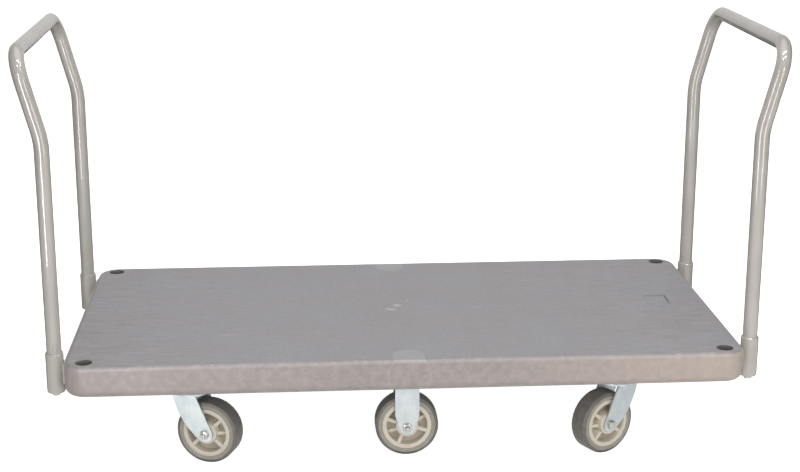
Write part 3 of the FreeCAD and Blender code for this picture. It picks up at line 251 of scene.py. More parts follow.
# %% Streaks, clouds and grain
streaks = plastic.noise(1.0, 5.0, 0.6, stretch=(14, 210, 60))
fine_streaks = plastic.noise(1.0, 3.0, 0.6, stretch=(55, 620, 90), shift=3.0)
weave = plastic.noise(1.0, 3.0, 0.6, stretch=(420, 60, 60), shift=7.0)
clouds = plastic.noise(5.0, 5.0, 0.6)
mottle = plastic.noise(55.0, 4.0, 0.6, shift=2.0)
grain = plastic.noise(900.0, 2.0, 0.6)

streak_amount = 0.35 + near_end * 0.65
top_level = 1 + (streaks - 0.5) * streak_amount * 0.80 + (fine_streaks - 0.5) * 0.36
top_level = top_level + (weave - 0.5) * 0.34 + (clouds - 0.5) * 0.36 + (grain - 0.5) * 0.07
side_level = 0.94 + near_end * 0.11 + (clouds - 0.5) * (0.22 + near_end * 0.20)
side_level = side_level + (mottle - 0.5) * 0.28 + (grain - 0.5) * 0.08
print("deck patterns need", len(plastic.tree.nodes), "nodes so far")

# %% Colours of the top and the sides, as painted light: the sides lighter and warmer, as if lit, the top darker, as if in shade
shaded_top_colour = plastic.patches((165, 162, 164), (159, 158, 162), clouds, 0.4, 0.6)
warm_lit_side_colour = plastic.patches((174, 164, 162), (180, 170, 166), mottle)
low_down = plastic.fall(plastic.z, deck_low.z + 0.004, deck_low.z + 0.04)
rust_tint = plastic.step(from_middle, half_length - 0.16, half_length) * low_down
rust_tint = rust_tint * plastic.step(mottle, 0.35, 0.6)
warm_lit_side_colour = plastic.mix(warm_lit_side_colour, rgb(176, 152, 132), rust_tint * 0.55)
# painted warm light: the sides grow warmer towards the right end, as if a warm lamp shone from the right
painted_warm_light = plastic.step(plastic.x, 0.15, half_length)
warm_lit_side_colour = plastic.mix(warm_lit_side_colour, rgb(196, 181, 168), painted_warm_light * 0.6)
# painted light: the lit, warmer side colour and the shaded top colour are one plastic, split by which way the face
# points
surface = plastic.mix(
    plastic.shade(warm_lit_side_colour, side_level), plastic.shade(shaded_top_colour, top_level), on_top)
print("sides grow warmer from 0.15 to", round(half_length, 3))

# %% Painted shade on the rounded edges, with lighter patches of wear and painted highlight, smooth pads and a faint ring on each long face
edge_band = on_top * plastic.fall(upward, 0.93, 0.995)
worn_and_highlit_edge = plastic.step(mottle + (fine_streaks - 0.5) * 0.6, 0.48, 0.66)
# painted shade darkens the band of the rounded edge; its lighter patches are partly rubbed wear and partly painted
# highlight
surface = plastic.mix(surface, rgb(150, 145, 144), edge_band * (1 - worn_and_highlit_edge) * 0.6)
surface = plastic.mix(surface, rgb(176, 172, 170), edge_band * worn_and_highlit_edge * 0.35)
surface = plastic.mix(surface, rgb(178, 178, 177), on_pad * on_top * 0.6)

ring_radius, ring_drop = 0.050, 0.040
ring_reach = (plastic.x ** 2 + (plastic.z - top_height + ring_drop) ** 2) ** 0.5
face_ring = plastic.fall((ring_reach - ring_radius).size(), 0.0012, 0.0040) * (1 - on_top)
on_long_face = plastic.step(plastic.y.size(), half_width - 0.030, half_width - 0.020)
surface = plastic.mix(
    surface, rgb(204, 197, 190), face_ring * on_long_face * plastic.between(mottle, 0.0, 0.34))
print("rings of", ring_radius, "metres,", ring_drop, "below the top")

# %% Scuffs where a load was dragged near the middle
# each scuff: centre x and y, half length, half width and turn, in metres and degrees
scuff_depth = 0.02
scuffs = ((-0.002, 0.012, 0.014, 0.016, 20), (-0.020, -0.018, 0.022, 0.010, -12),
          (-0.028, 0.103, 0.013, 0.003, 8), (0.026, 0.050, 0.008, 0.003, 50),
          (-0.43, -0.19, 0.030, 0.002, 4), (0.35, 0.21, 0.024, 0.002, -6))
scuff_mask = None
for centre_x, centre_y, half_long, half_wide, turn in scuffs:
    turned = plastic.node("Mapping", {"vector_type": "TEXTURE"}, {
        "Vector": plastic.position, "Location": (centre_x, centre_y, top_height),
        "Rotation": (0, 0, math.radians(turn)), "Scale": (half_long, half_wide, scuff_depth)})
    reach = plastic.node("VectorMath", {"operation": "LENGTH"}, {0: turned}, out="Value")
    one = plastic.fall(reach, 0.35, 1.0)
    scuff_mask = one if scuff_mask is None else scuff_mask.larger(one)
scuff_mask = scuff_mask * plastic.step(fine_streaks, 0.30, 0.55) * on_top
surface = plastic.mix(surface, rgb(214, 214, 212), scuff_mask * 0.8)
print("scuffs", len(scuffs))

# %% Painted shade in the stake holes and a painted shadow round the blank label
mounts = {mount["name"]: mount for mount in frame["record"]["mounts"]}
stake_x, stake_y = mounts["stake_hole_rear_right"]["pos_m"][:2]
stake_radius = 0.0195
off_x = plastic.x.size() - abs(stake_x)
off_y = plastic.y.size() - abs(stake_y)
in_hole = plastic.fall(
    (off_x ** 2 + off_y ** 2) ** 0.5, stake_radius + 0.0001, stake_radius + 0.0004)
depth = top_height - plastic.z
# painted shade: the stake holes grow darker the deeper they go
hole_shade_colour = plastic.patches((128, 127, 124), (84, 84, 81), depth, 0.0015, 0.016)
surface = plastic.mix(surface, plastic.shade(hole_shade_colour, 0.6 + mottle * 0.8), in_hole)

label_x, label_y = 0.6765, 0.014
half_x, half_y = 0.0265, 0.0385
past_x = (plastic.x - label_x).size() - half_x
past_y = (plastic.y - label_y).size() - half_y
label_edge = past_x.larger(past_y).size()
label_shadow_line = plastic.fall(label_edge, 0.0008, 0.0024) * on_top
# painted shadow lies along the two sides of the label's recess that face the right end and the rear
shadowed_sides = plastic.step(plastic.x + plastic.y, 0.67, 0.72)
surface = plastic.mix(surface, rgb(96, 92, 96), label_shadow_line * (0.04 + shadowed_sides * 0.92))
print("stake holes at", stake_x, stake_y, "label at", label_x, label_y)

# %% Relief and gloss of the deck
ripple = plastic.noise(9.0, 2.0, 0.5, shift=5.0)
deck_relief = plastic.relief(
    (ripple, 0.004, 0.12), (mottle, 0.0008, 0.25), (streaks * on_top, 0.0006, 0.25),
    (grain, 0.00025, 0.35))
deck_gloss = 0.52 + (mottle - 0.5) * 0.14 + (streaks - 0.5) * 0.18 - on_pad * 0.08
deck_finish = plastic.finish(
    Base_Color=surface, Roughness=deck_gloss, Normal=deck_relief, IOR=1.46)

# %% [markdown]
# ## The handles' paint
#
# Handles, sockets and end plates carry one warm grey gloss paint. Sprayed paint is never
# flat: it lies in fine ripples that break up reflections, and it is dusty or thin in places.
# A clear coat over the base gives the crisp highlight, and small bumps give the ripple.

# %% Gloss paint
paint = Finish("grey_gloss_paint")
ripples = paint.noise(160.0, 2.0, 0.5)
flecks = paint.noise(1400.0, 2.0, 0.6)
drift = paint.noise(9.0, 4.0, 0.6)
runs = paint.noise(1.0, 3.0, 0.55, stretch=(260, 260, 12), shift=1.0)
paint_colour = paint.patches((188, 184, 176), (195, 191, 183), drift)
paint_colour = paint.shade(paint_colour, 1 + (runs - 0.5) * 0.07 + (flecks - 0.5) * 0.05)
socket_low, socket_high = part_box("socket_front_left")
# lifting the handle out rubs a band just above the socket's rim
rubbed_band = 0.012
off_band = (paint.z - socket_high.z - rubbed_band).size()
rubbed = paint.fall(off_band, 0.004, 0.022) * paint.step(runs, 0.5, 0.7)
paint_colour = paint.mix(paint_colour, rgb(150, 146, 140), rubbed * 0.5)
paint_relief = paint.relief((ripples, 0.0005, 0.18), (flecks, 0.00008, 0.3))
paint_finish = paint.finish(
    Base_Color=paint_colour, Roughness=0.50 + (drift - 0.5) * 0.16 + rubbed * 0.15,
    Specular_IOR_Level=0.3, Normal=paint_relief, Coat_Weight=1.0, Coat_Roughness=0.06)

# %% [markdown]
# ## Zinc plating
#
# Forks and caster plates are pressed from sheet and zinc plated, which leaves a bright,
# cold, slightly cloudy metal. The bolts are plated too, but turned and rolled, so they are
# shinier and finer in grain. One function makes both from colours, a roughness and scales.

# %% Zinc for sheet and for bolts
def zinc(name, cold, warm, rough, cloud_scale, grain_scale):
    plating = Finish(name)
    clouded = plating.noise(cloud_scale, 4.0, 0.6)
    fine = plating.noise(grain_scale, 2.0, 0.6)
    rolled = plating.noise(1.0, 3.0, 0.6, stretch=(300, 300, 40), shift=4.0)
    colour = plating.patches(cold, warm, clouded, 0.35, 0.68)
    colour = plating.shade(colour, 1 + (fine - 0.5) * 0.10 + (rolled - 0.5) * 0.14)
    relief = plating.relief((clouded, 0.0006, 0.10), (rolled, 0.0002, 0.2))
    return plating.finish(
        Base_Color=colour, Metallic=0.82, Normal=relief,
        Roughness=rough + (clouded - 0.5) * 0.22 + (fine - 0.5) * 0.08)


sheet_zinc = zinc("plated_sheet", (176, 184, 188), (190, 195, 193), 0.46, 38.0, 1100.0)
bolt_zinc = zinc("plated_bolts", (176, 180, 180), (184, 178, 164), 0.32, 160.0, 2200.0)

# %% [markdown]
# ## Tyres and wheel cores
#
# The tyre is grey non-marking rubber; its side wall is painted lighter, as painted light. The core is beige
# moulded nylon. Each of their points carries a number that its finish reads: how near the
# tyre's point is to the tread, which is painted darker as painted shade, and how deep the core's point
# is in a recess, which is painted darker as painted shade. The number travels with the wheel when it turns.

# %% Rubber with a side wall painted lit and a tread painted in shade
rubber = Finish("tyre_rubber")
tread_share = rubber.node("Attribute", {"attribute_name": "tread_share"}, out="Fac")
rub_noise = rubber.noise(70.0, 4.0, 0.65)
rub_grain = rubber.noise(1300.0, 2.0, 0.6)
# painted light: the side wall takes a lit colour and the tread a shaded one
tread_shade = rubber.step(tread_share, 0.45, 0.62)
lit_wall_colour = rubber.patches((155, 150, 139), (167, 161, 150), rub_noise)
shaded_tread_colour = rubber.patches((99, 98, 92), (116, 115, 108), rub_noise, 0.3, 0.7)
rubber_colour = rubber.mix(lit_wall_colour, shaded_tread_colour, tread_shade)
rubber_colour = rubber.shade(rubber_colour, 1 + (rub_grain - 0.5) * 0.16)
rubber_relief = rubber.relief((rub_noise, 0.0004, 0.25), (rub_grain, 0.0002, 0.35))
rubber_finish = rubber.finish(
    Base_Color=rubber_colour, Roughness=0.62 + (rub_noise - 0.5) * 0.2, Normal=rubber_relief)

# %% Beige nylon with painted shade in its recesses
nylon = Finish("core_nylon")
depth_share = nylon.node("Attribute", {"attribute_name": "recess"}, out="Fac")
nylon_cloud = nylon.noise(60.0, 4.0, 0.6)
nylon_grain = nylon.noise(1500.0, 2.0, 0.6)
nylon_colour = nylon.patches((217, 209, 192), (223, 216, 201), nylon_cloud)
# painted shade: the core grows darker the deeper a point lies in a recess
recess_shade = depth_share * nylon.between(nylon_cloud, 0.3, 0.9)
nylon_colour = nylon.mix(nylon_colour, rgb(120, 112, 98), recess_shade)
nylon_colour = nylon.shade(nylon_colour, 1 + (nylon_grain - 0.5) * 0.08)
nylon_finish = nylon.finish(
    Base_Color=nylon_colour, Roughness=0.46 + (nylon_cloud - 0.5) * 0.2,
    Normal=nylon.relief((nylon_grain, 0.00015, 0.3)))

# %% Plain plastic, brass and steel
def simple_finish(name, colour, dark, rough, metal, scale):
    plain = Finish(name)
    cloudy = plain.noise(scale, 4.0, 0.6)
    tone = plain.mix(colour, dark, plain.step(cloudy, 0.45, 0.75) * 0.6)
    return plain.finish(
        Base_Color=tone, Metallic=metal, Roughness=rough + (cloudy - 0.5) * 0.2,
        Normal=plain.relief((cloudy, 0.0002, 0.2)))


bushing_finish = simple_finish(
    "pale_bushing", rgb(226, 222, 208), rgb(180, 172, 152), 0.38, 0.0, 420.0)
brass_finish = simple_finish(
    "turned_brass", rgb(206, 176, 112), rgb(150, 120, 70), 0.36, 1.0, 380.0)
steel_finish = simple_finish(
    "race_steel", rgb(196, 198, 200), rgb(150, 146, 138), 0.22, 1.0, 500.0)

# %% [markdown]
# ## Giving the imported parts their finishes
#
# Parts whose shape is already right only need a material, chosen by the record's own slot
# name for that part.

# %% Finishes by record slot
by_slot = {
    "deck_plastic": deck_finish,
    "handle_paint": paint_finish,
    "zinc_sheet": sheet_zinc,
    "zinc_fastener": bolt_zinc,
    "insert_brass": brass_finish,
    "wheel_tread": rubber_finish,
    "wheel_core": nylon_finish,
    "bushing_plastic": bushing_finish,
}
slot_of = {entry["node"]: entry["material_slot"] for entry in frame["record"]["subparts"]}
for name, part in frame["nodes"].items():
    part.data.materials.clear()
    part.data.materials.append(by_slot[slot_of[name]])
frame["nodes"]["swivel_race_balls"].data.materials[0] = steel_finish
print("finished", len(frame["nodes"]), "packed parts")

# %% [markdown]
# ## Softening the edges of pressed and welded parts
#
# No real edge is perfectly sharp: a sheared sheet or a sawn tube has a small round that
# catches a line of light. A part whose large shape is right is copied, its loose triangles
# are merged back into whole faces, and a Bevel modifier rounds only the sharp edges. The
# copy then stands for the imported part.

# %% Pieces in the scene
bodies = frame["record"]["behaviour"]["bodies"]
body_of = {node: body for body, nodes in bodies.items() for node in nodes}


def placed(name, data):
    """A new object, at the origin like every finished piece."""
    made = bpy.data.objects.new(name, data)
    bpy.context.scene.collection.objects.link(made)
    return made


def smooth_but(shape, sharp):
    """Shades a shape smooth, except where it turns by more than sharp degrees."""
    for face in shape.faces:
        face.smooth = True
    for edge in shape.edges:
        edge.smooth = edge.calc_face_angle(0.0) < math.radians(sharp)


def settled(carrier):
    """The plain mesh that an object's modifiers give; the object is then taken away."""
    bpy.context.view_layer.update()
    seen = carrier.evaluated_get(bpy.context.evaluated_depsgraph_get())
    mesh = bpy.data.meshes.new_from_object(seen)
    name = carrier.name
    bpy.data.objects.remove(carrier)
    mesh.name = name
    return mesh


def show(name, mesh, node):
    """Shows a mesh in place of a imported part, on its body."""
    made = placed(name, mesh)
    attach(made, body_of[node])
    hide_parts(node)
    return made


# %% A copy with softened edges
def eased(node, width, finish):
    """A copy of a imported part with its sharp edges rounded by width, in metres."""
    same_point, same_plane, sharp, softened = 2e-6, math.radians(0.6), 28, math.radians(35)
    copy = placed(node + "_eased", frame["nodes"][node].data.copy())
    whole = bmesh.new()
    whole.from_mesh(copy.data)
    bmesh.ops.remove_doubles(whole, verts=whole.verts, dist=same_point)
    bmesh.ops.dissolve_limit(
        whole, angle_limit=same_plane, verts=whole.verts, edges=whole.edges,
        delimit={"NORMAL"})
    smooth_but(whole, sharp)
    whole.to_mesh(copy.data)
    whole.free()
    softener = copy.modifiers.new("softened_edges", "BEVEL")
    softener.width = width
    softener.segments = 2
    softener.limit_method = "ANGLE"
    softener.angle_limit = softened
    softener.harden_normals = True
    copy.data.materials.clear()
    copy.data.materials.append(finish)
    return show(node + "_eased", settled(copy), node)


for node in body_of:
    if node.startswith(("fork", "rigid_frame")):
        eased(node, 0.0007, sheet_zinc)
    if node.startswith("end_plate_") and node.endswith(("left", "right")):
        eased(node, 0.0008, paint_finish)

# %% [markdown]
# ## Turned shapes
#
# Tyres, cores and bolts are turned, as if cut on a lathe. An outline of radius and height
# pairs is rounded at its corners, then swept round the axis. Mesh code keeps the outline
# readable and lets each point carry extra numbers.

# %% Rounding an outline
def rounded(outline, radius, steps=3):
    """A closed outline with an arc of the given radius at each corner."""
    soft = []
    for index, corner in enumerate(outline):
        here = Vector(corner)
        before = Vector(outline[index - 1]) - here
        after = Vector(outline[(index + 1) % len(outline)]) - here
        turn = math.pi - before.angle(after)
        if turn < 0.05:
            soft.append(here)
            continue
        cut = min(radius * math.tan(turn / 2), 0.4 * before.length, 0.4 * after.length)
        start = here + before.normalized() * cut
        finish = here + after.normalized() * cut
        for step in range(steps + 1):
            share = step / steps
            soft.append(start.lerp(here, share).lerp(here.lerp(finish, share), share))
    return soft


# %% A lathe
def lathe(outline, steps):
    """Points and faces of a closed outline of (radius, height) turned once about Z."""
    points = []
    for step in range(steps):
        angle = 2 * math.pi * step / steps
        points += [Vector((r * math.cos(angle), r * math.sin(angle), z)) for r, z in outline]
    count = len(outline)
    faces = []
    for step in range(steps):
        ahead = (step + 1) % steps
        for index in range(count):
            after = (index + 1) % count
            faces.append((step * count + index, ahead * count + index,
                          ahead * count + after, step * count + after))
    return points, faces


# %% Meshes
def make_mesh(name, points, faces, finish, sharp=38.0):
    """A mesh with outward faces, smooth except where it turns by more than sharp degrees."""
    mesh = bpy.data.meshes.new(name)
    mesh.from_pydata(points, [], faces)
    shape = bmesh.new()
    shape.from_mesh(mesh)
    bmesh.ops.recalc_face_normals(shape, faces=shape.faces)
    smooth_but(shape, sharp)
    shape.to_mesh(mesh)
    shape.free()
    mesh.materials.append(finish)
    return mesh


def joined(parts):
    """Several (points, faces) lists as one."""
    points, faces = [], []
    for more_points, more_faces in parts:
        offset = len(points)
        points += more_points
        faces += [tuple(index + offset for index in face) for face in more_faces]
    return points, faces


# %% [markdown]
# ## Sockets
#
# A socket is a length of tube with a plate in its foot, so it is turned too. Its rim is
# chamfered to guide the handle in, and the sawn edges are rubbed to a small round.

# %% Four sockets
socket_nodes = sorted(node for node in frame["nodes"] if node.startswith("socket_"))
socket_bore, bolt_hole, foot_plate = 0.0178, 0.0055, 0.0050
foot_cut, rim_cut = 0.0020, 0.0012
for node in socket_nodes:
    low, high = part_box(node)
    socket_radius = (high.x - low.x) / 2
    foot, rim = low.z, high.z
    outline = rounded([
        (bolt_hole, foot), (socket_radius - foot_cut, foot), (socket_radius, foot + foot_cut),
        (socket_radius, foot + 0.0050), (socket_radius, rim - 0.0040),
        (socket_radius, rim - rim_cut), (socket_radius - rim_cut, rim), (socket_bore, rim),
        (socket_bore, rim - 0.0040), (socket_bore, foot + 0.0080),
        (socket_bore, foot + foot_plate), (bolt_hole, foot + foot_plate)], 0.0005)
    points, faces = lathe(outline, 72)
    middle = Vector(((low.x + high.x) / 2, (low.y + high.y) / 2, 0))
    mesh = make_mesh(
        node + "_turned", [point + middle for point in points], faces, paint_finish, 30.0)
    show(node.replace("socket", "socket_tube"), mesh, node)
print("sockets", len(socket_nodes), "radius", round(socket_radius, 4))

# %% [markdown]
# ## Growing pieces with Geometry Nodes
#
# Tubes follow a path, and bolts and weld drops repeat along one. Geometry Nodes suit both:
# a tree is built once with named inputs for its sizes, then fed a line or a few points.

# %% A tree of Geometry Nodes
class PieceNodes(Nodes):
    """A node tree that makes a piece, with named inputs for its sizes."""

    prefix = "GeometryNode"

    def __init__(self, name, inputs):
        super().__init__(bpy.data.node_groups.new(name, "GeometryNodeTree"))
        self.tree.is_modifier = True
        new_socket = self.tree.interface.new_socket
        for title, kind in {"Geometry": "Geometry", **inputs}.items():
            new_socket(title, in_out="INPUT", socket_type="NodeSocket" + kind)
        new_socket("Geometry", in_out="OUTPUT", socket_type="NodeSocketGeometry")
        source = self.place("NodeGroupInput")
        self.given = {out.name: Value(self, out) for out in source.outputs if out.name}

    def end(self, geometry):
        """Ends every tree alike: real geometry with one material."""
        real = self.node("RealizeInstances", sockets={"Geometry": geometry})
        dressed = self.node("SetMaterial", sockets={
            "Geometry": real, "Material": self.given["Material"]})
        self.place("NodeGroupOutput", sockets={"Geometry": dressed})
        print("tree", self.tree.name, "with", len(self.tree.nodes), "nodes")
        return self.tree


def grown(name, tree, start, values):
    """The plain mesh that a tree makes from a starting mesh and named values."""
    carrier = placed(name, start)
    growth = carrier.modifiers.new("growth", "NODES")
    growth.node_group = tree
    for item in tree.interface.items_tree:
        if item.in_out == "INPUT" and item.name in values:
            growth[item.identifier] = values[item.name]
    return settled(carrier)


def points_along(name, points, edges=()):
    """A mesh of points, joined by edges where some are given."""
    mesh = bpy.data.meshes.new(name)
    mesh.from_pydata(points, edges, [])
    return mesh


# %% [markdown]
# ## The bent handles
#
# A handle is one tube, bent at two kinks and two upper corners. On a bending machine each
# bend has its own radius, so the path carries the radius as a number on each corner, and
# the Fillet Curve node rounds every corner by its own amount before the tube is swept.

# %% A tree for bent tube
bender = PieceNodes("bent_tube", {"Radius": "Float", "Sides": "Int", "Material": "Material"})
corner_line = bender.node("MeshToCurve", sockets={0: bender.given["Geometry"]})
bend_radius = bender.node("InputNamedAttribute", {"data_type": "FLOAT"}, {"Name": "bend"})
bent_line = bender.node("FilletCurve", {"mode": "POLY"}, {
    0: corner_line, "Count": 24, "Radius": bend_radius})
tube_section = bender.node("CurvePrimitiveCircle", {"mode": "RADIUS"}, {
    "Resolution": bender.given["Sides"], "Radius": bender.given["Radius"]})
swept = bender.node("CurveToMesh", sockets={0: bent_line, 1: tube_section})
tube_tree = bender.end(bender.node("SetShadeSmooth", sockets={0: swept}))

# %% Two handles
tube_wall, tube_sides = 0.0021, 56
kink_height = deck_high.z + 0.515
kink_bend, corner_bend = 0.210, 0.066
foot_step = 0.003
for node, outward in (("handle_left", -1), ("handle_right", 1)):
    low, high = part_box(node)
    socket_low, socket_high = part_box(node.replace("handle", "socket_rear"))
    foot_x, half_spacing = ((socket_low + socket_high) / 2).xy
    tube_radius = high.y - half_spacing
    bar_x = (high.x if outward > 0 else low.x) - outward * tube_radius
    bar_z = high.z - tube_radius
    # a second point just above each foot keeps the long straight's shading from leaning
    half_path = [(foot_x, low.z, 0.0), (foot_x, low.z + foot_step, 0.0),
                 (foot_x, kink_height, kink_bend), (bar_x, bar_z, corner_bend)]
    corners = [(x, -half_spacing, z, bend) for x, z, bend in half_path]
    corners += [(x, half_spacing, z, bend) for x, z, bend in reversed(half_path)]
    path = points_along(
        node + "_path", [corner[:3] for corner in corners],
        [(at, at + 1) for at in range(len(corners) - 1)])
    path.attributes.new("bend", "FLOAT", "POINT").data.foreach_set(
        "value", [corner[3] for corner in corners])
    tube = placed(node + "_tube", grown(node + "_tube", tube_tree, path, {
        "Radius": tube_radius, "Sides": tube_sides, "Material": paint_finish}))
    walls = tube.modifiers.new("wall", "SOLIDIFY")
    walls.thickness = tube_wall
    walls.offset = -1.0
    tube = show(node + "_tube", settled(tube), node)
    print(node, "tube radius", round(tube_radius, 4), "faces", len(tube.data.polygons))

# %% [markdown]
# ## Where each wheel sits
#
# A wheel's joint says where its axle is. The wheel's own frame has Z along the axle, so the
# same mesh fits all six. Each wheel stopped at its own angle, which shows in its ribs.

# %% One frame per wheel
wheel_turn = {"front_left": 1.0, "front_right": -4.5, "rear_left": 15.0, "rear_right": 74.0,
              "rigid_front": 24.0, "rigid_rear": 62.0}
wheel_places, caster_places = {}, {}
for corner, turn in wheel_turn.items():
    axle = Vector(joints["wheel_roll_" + corner]["pos_m"])
    swivel = joints.get("swivel_turn_" + corner)
    trail, up = Vector((1, 0, 0)), Vector((0, 0, 1))
    if swivel:
        trail = axle - Vector(swivel["pos_m"])
        trail = Vector((trail.x, trail.y, 0)).normalized()
    across = up.cross(trail)
    caster = Matrix((trail, across, up)).transposed().to_4x4()
    caster.translation = axle
    caster_places[corner] = caster
    on_side = Matrix.Rotation(math.radians(90), 4, "X")
    wheel_places[corner] = caster @ on_side @ Matrix.Rotation(math.radians(turn), 4, "Z")
wheel_radius = joints["wheel_roll_rigid_front"]["pos_m"][2]
tyre_low, tyre_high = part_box("tread_rigid_front")
half_tyre = (tyre_high.y - tyre_low.y) / 2
print("wheel radius", wheel_radius, "half width", round(half_tyre, 4))


# %% One mesh on all six wheels
def on_each_wheel(kind, packed, shape, finish, number, shares):
    """One mesh on all six wheels, with a number on each point for its finish to read."""
    points, faces = shape
    for corner, place in wheel_places.items():
        node = packed + corner
        mesh = make_mesh(kind + corner, [place @ p for p in points], faces, finish)
        mesh.attributes.new(number, "FLOAT", "POINT").data.foreach_set("value", shares)
        show(kind + corner, mesh, node)
    print(kind + "faces", len(faces))


# %% [markdown]
# ## The tyre
#
# The tyre is a band of rubber moulded round the core: a flat tread with rounded shoulders,
# a side wall with two shallow rings, and a fine line at mid width where the mould closed.

# %% Tyre outline and mesh
core_radius = 0.059
tyre_half = [
    (core_radius, half_tyre - 0.0010), (0.0607, half_tyre), (0.0632, half_tyre),
    (0.0640, half_tyre - 0.0007), (0.0648, half_tyre), (0.0682, half_tyre - 0.0002),
    (0.0690, half_tyre - 0.0009), (0.0722, half_tyre - 0.0016), (0.0748, half_tyre - 0.0032),
    (0.0760, half_tyre - 0.0058), (wheel_radius - 0.0001, half_tyre - 0.0085),
    (wheel_radius - 0.0001, 0.0008), (wheel_radius, 0.0003)]
tyre_outline = rounded(tyre_half + [(r, -z) for r, z in reversed(tyre_half)], 0.0006, 2)
tyre = lathe(tyre_outline, 144)
band = wheel_radius - core_radius
tread_shares = [max(0.0, (math.hypot(p.x, p.y) - core_radius) / band) for p in tyre[0]]
on_each_wheel("tyre_", "tread_", tyre, rubber_finish, "tread_share", tread_shares)

# %% [markdown]
# ## The wheel's core
#
# The nylon core has a rim ring, a hub boss and a closed web between them, stiffened on each
# side by four tall ribs and by two that slope down to the ring. Moulded ribs lean in by a
# degree or two so that they leave the mould, and every corner is rounded.

# %% Ring, web and boss
hub_low, hub_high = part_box("wheel_bushing_rigid_front")
half_hub = (hub_high.y - hub_low.y) / 2
bushing_radius = (hub_high.z - hub_low.z) / 2
half_web, boss_radius, ring_inner = 0.0035, 0.0262, 0.0490
ring_face = half_tyre - 0.0010
core_half = [
    (bushing_radius, half_hub), (boss_radius, half_hub), (0.0295, half_web),
    (0.0475, half_web), (ring_inner, ring_face), (core_radius, ring_face)]
core_outline = rounded(core_half + [(r, -z) for r, z in reversed(core_half)], 0.0011, 4)
core_parts = [lathe(core_outline, 112)]
print("web", 2 * half_web, "thick, from", boss_radius, "to", ring_inner)


# %% Ribs
rib_spread, rib_draft = 84.0, 0.0006
tall_rib, low_rib, low_rib_slope = ring_face - 0.0030, ring_face - 0.0040, 0.0100
tall_half, low_half = 0.0050, 0.0045


def rib(half_width, at_boss, at_ring, angle):
    """A rib from the boss to the ring, with its height at each, on both sides of the web."""
    points = []
    top = half_width - rib_draft
    for reach, half_height in ((boss_radius - 0.0006, at_boss), (ring_inner + 0.0010, at_ring)):
        section = rounded([(-half_width, 0), (-top, -half_height), (top, -half_height),
                           (half_width, 0), (top, half_height), (-top, half_height)], 0.0010, 3)
        points += [Vector((reach, y, z)) for y, z in section]
    count = len(points) // 2
    faces = [tuple(range(count)), tuple(range(2 * count - 1, count - 1, -1))]
    faces += [(i, i + count, (i + 1) % count + count, (i + 1) % count) for i in range(count)]
    turn = Matrix.Rotation(math.radians(angle), 4, "Z")
    return [turn @ point for point in points], faces


for opposite in (0, 180):
    for side in (-1, 1):
        core_parts.append(rib(
            tall_half, tall_rib, tall_rib, opposite + side * rib_spread / 2))
    core_parts.append(rib(low_half, low_rib, low_rib - low_rib_slope, opposite))
core = joined(core_parts)
recess_depths = []
for p in core[0]:
    in_recess = boss_radius < math.hypot(p.x, p.y) < ring_inner + 0.0002
    recess_depths.append(max(0.0, 1 - abs(p.z) / ring_face) ** 1.3 if in_recess else 0.0)
on_each_wheel("core_", "wheel_core_", core, nylon_finish, "recess", recess_depths)

# %% [markdown]
# ## Bolts and nuts
#
# A hexagon head isn't a plain prism. Its turned top leaves a curved chamfer above the
# flats: where the hexagon sticks out further, the chamfer cuts lower.

# %% A hexagon with a turned chamfer
pin_hole = 0.0004


def hexagon(flats, low, high, bore=0.0, chamfer_low=False, steps=48):
    """A hex head or nut from low to high along Z, with chamfered corners."""
    face_radius, slope = 0.475 * flats, math.tan(math.radians(28))
    sixth = math.pi / 3
    inner = max(bore, pin_hole)
    kinds = ["inner_low", "face_low", "side_low", "side_high", "face_high", "inner_high"]
    if not chamfer_low:
        kinds.remove("side_low")
    points = []
    for kind in kinds:
        for step in range(steps):
            angle = 2 * math.pi * step / steps
            reach = flats / 2 / math.cos(angle % sixth - sixth / 2)
            drop = (reach - face_radius) * slope
            radius, height = {
                "inner_low": (inner, low),
                "face_low": (face_radius if chamfer_low else reach, low),
                "side_low": (reach, low + drop),
                "side_high": (reach, high - drop),
                "face_high": (face_radius, high),
                "inner_high": (inner, high)}[kind]
            points.append(Vector((radius * math.cos(angle), radius * math.sin(angle), height)))
    faces = []
    rows = len(kinds) - (bore == 0.0)
    for row in range(rows):
        after = (row + 1) % len(kinds)
        for step in range(steps):
            ahead = (step + 1) % steps
            faces.append((row * steps + step, row * steps + ahead,
                          after * steps + ahead, after * steps + step))
    if bore == 0.0:
        faces.append(tuple(range(steps - 1, -1, -1)))
        faces.append(tuple(range((len(kinds) - 1) * steps, len(kinds) * steps)))
    return points, faces


# %% A threaded shank, and discs
def threaded(radius, low, high, pitch, steps=24):
    """A shank from low to high whose surface rises and falls once per pitch."""
    outline = [(pin_hole, low), (radius - 0.5 * pitch, low)]
    turns = max(1, round((high - low - pitch) / pitch))
    rise = (high - low - pitch) / turns
    for turn in range(turns):
        start = low + 0.5 * pitch + turn * rise
        outline += [(radius - 0.45 * pitch, start), (radius, start + 0.5 * rise)]
    outline += [(radius - 0.45 * pitch, high - 0.5 * pitch), (radius - 0.8 * pitch, high),
                (pin_hole, high)]
    return lathe([Vector(pair) for pair in outline], steps)


def disc(radius, bore, low, high, steps=40):
    """A washer or plain shank with slightly rounded rims."""
    outline = [(bore, low), (radius, low), (radius, high), (bore, high)]
    return lathe(rounded(outline, 0.0003, 2), steps)


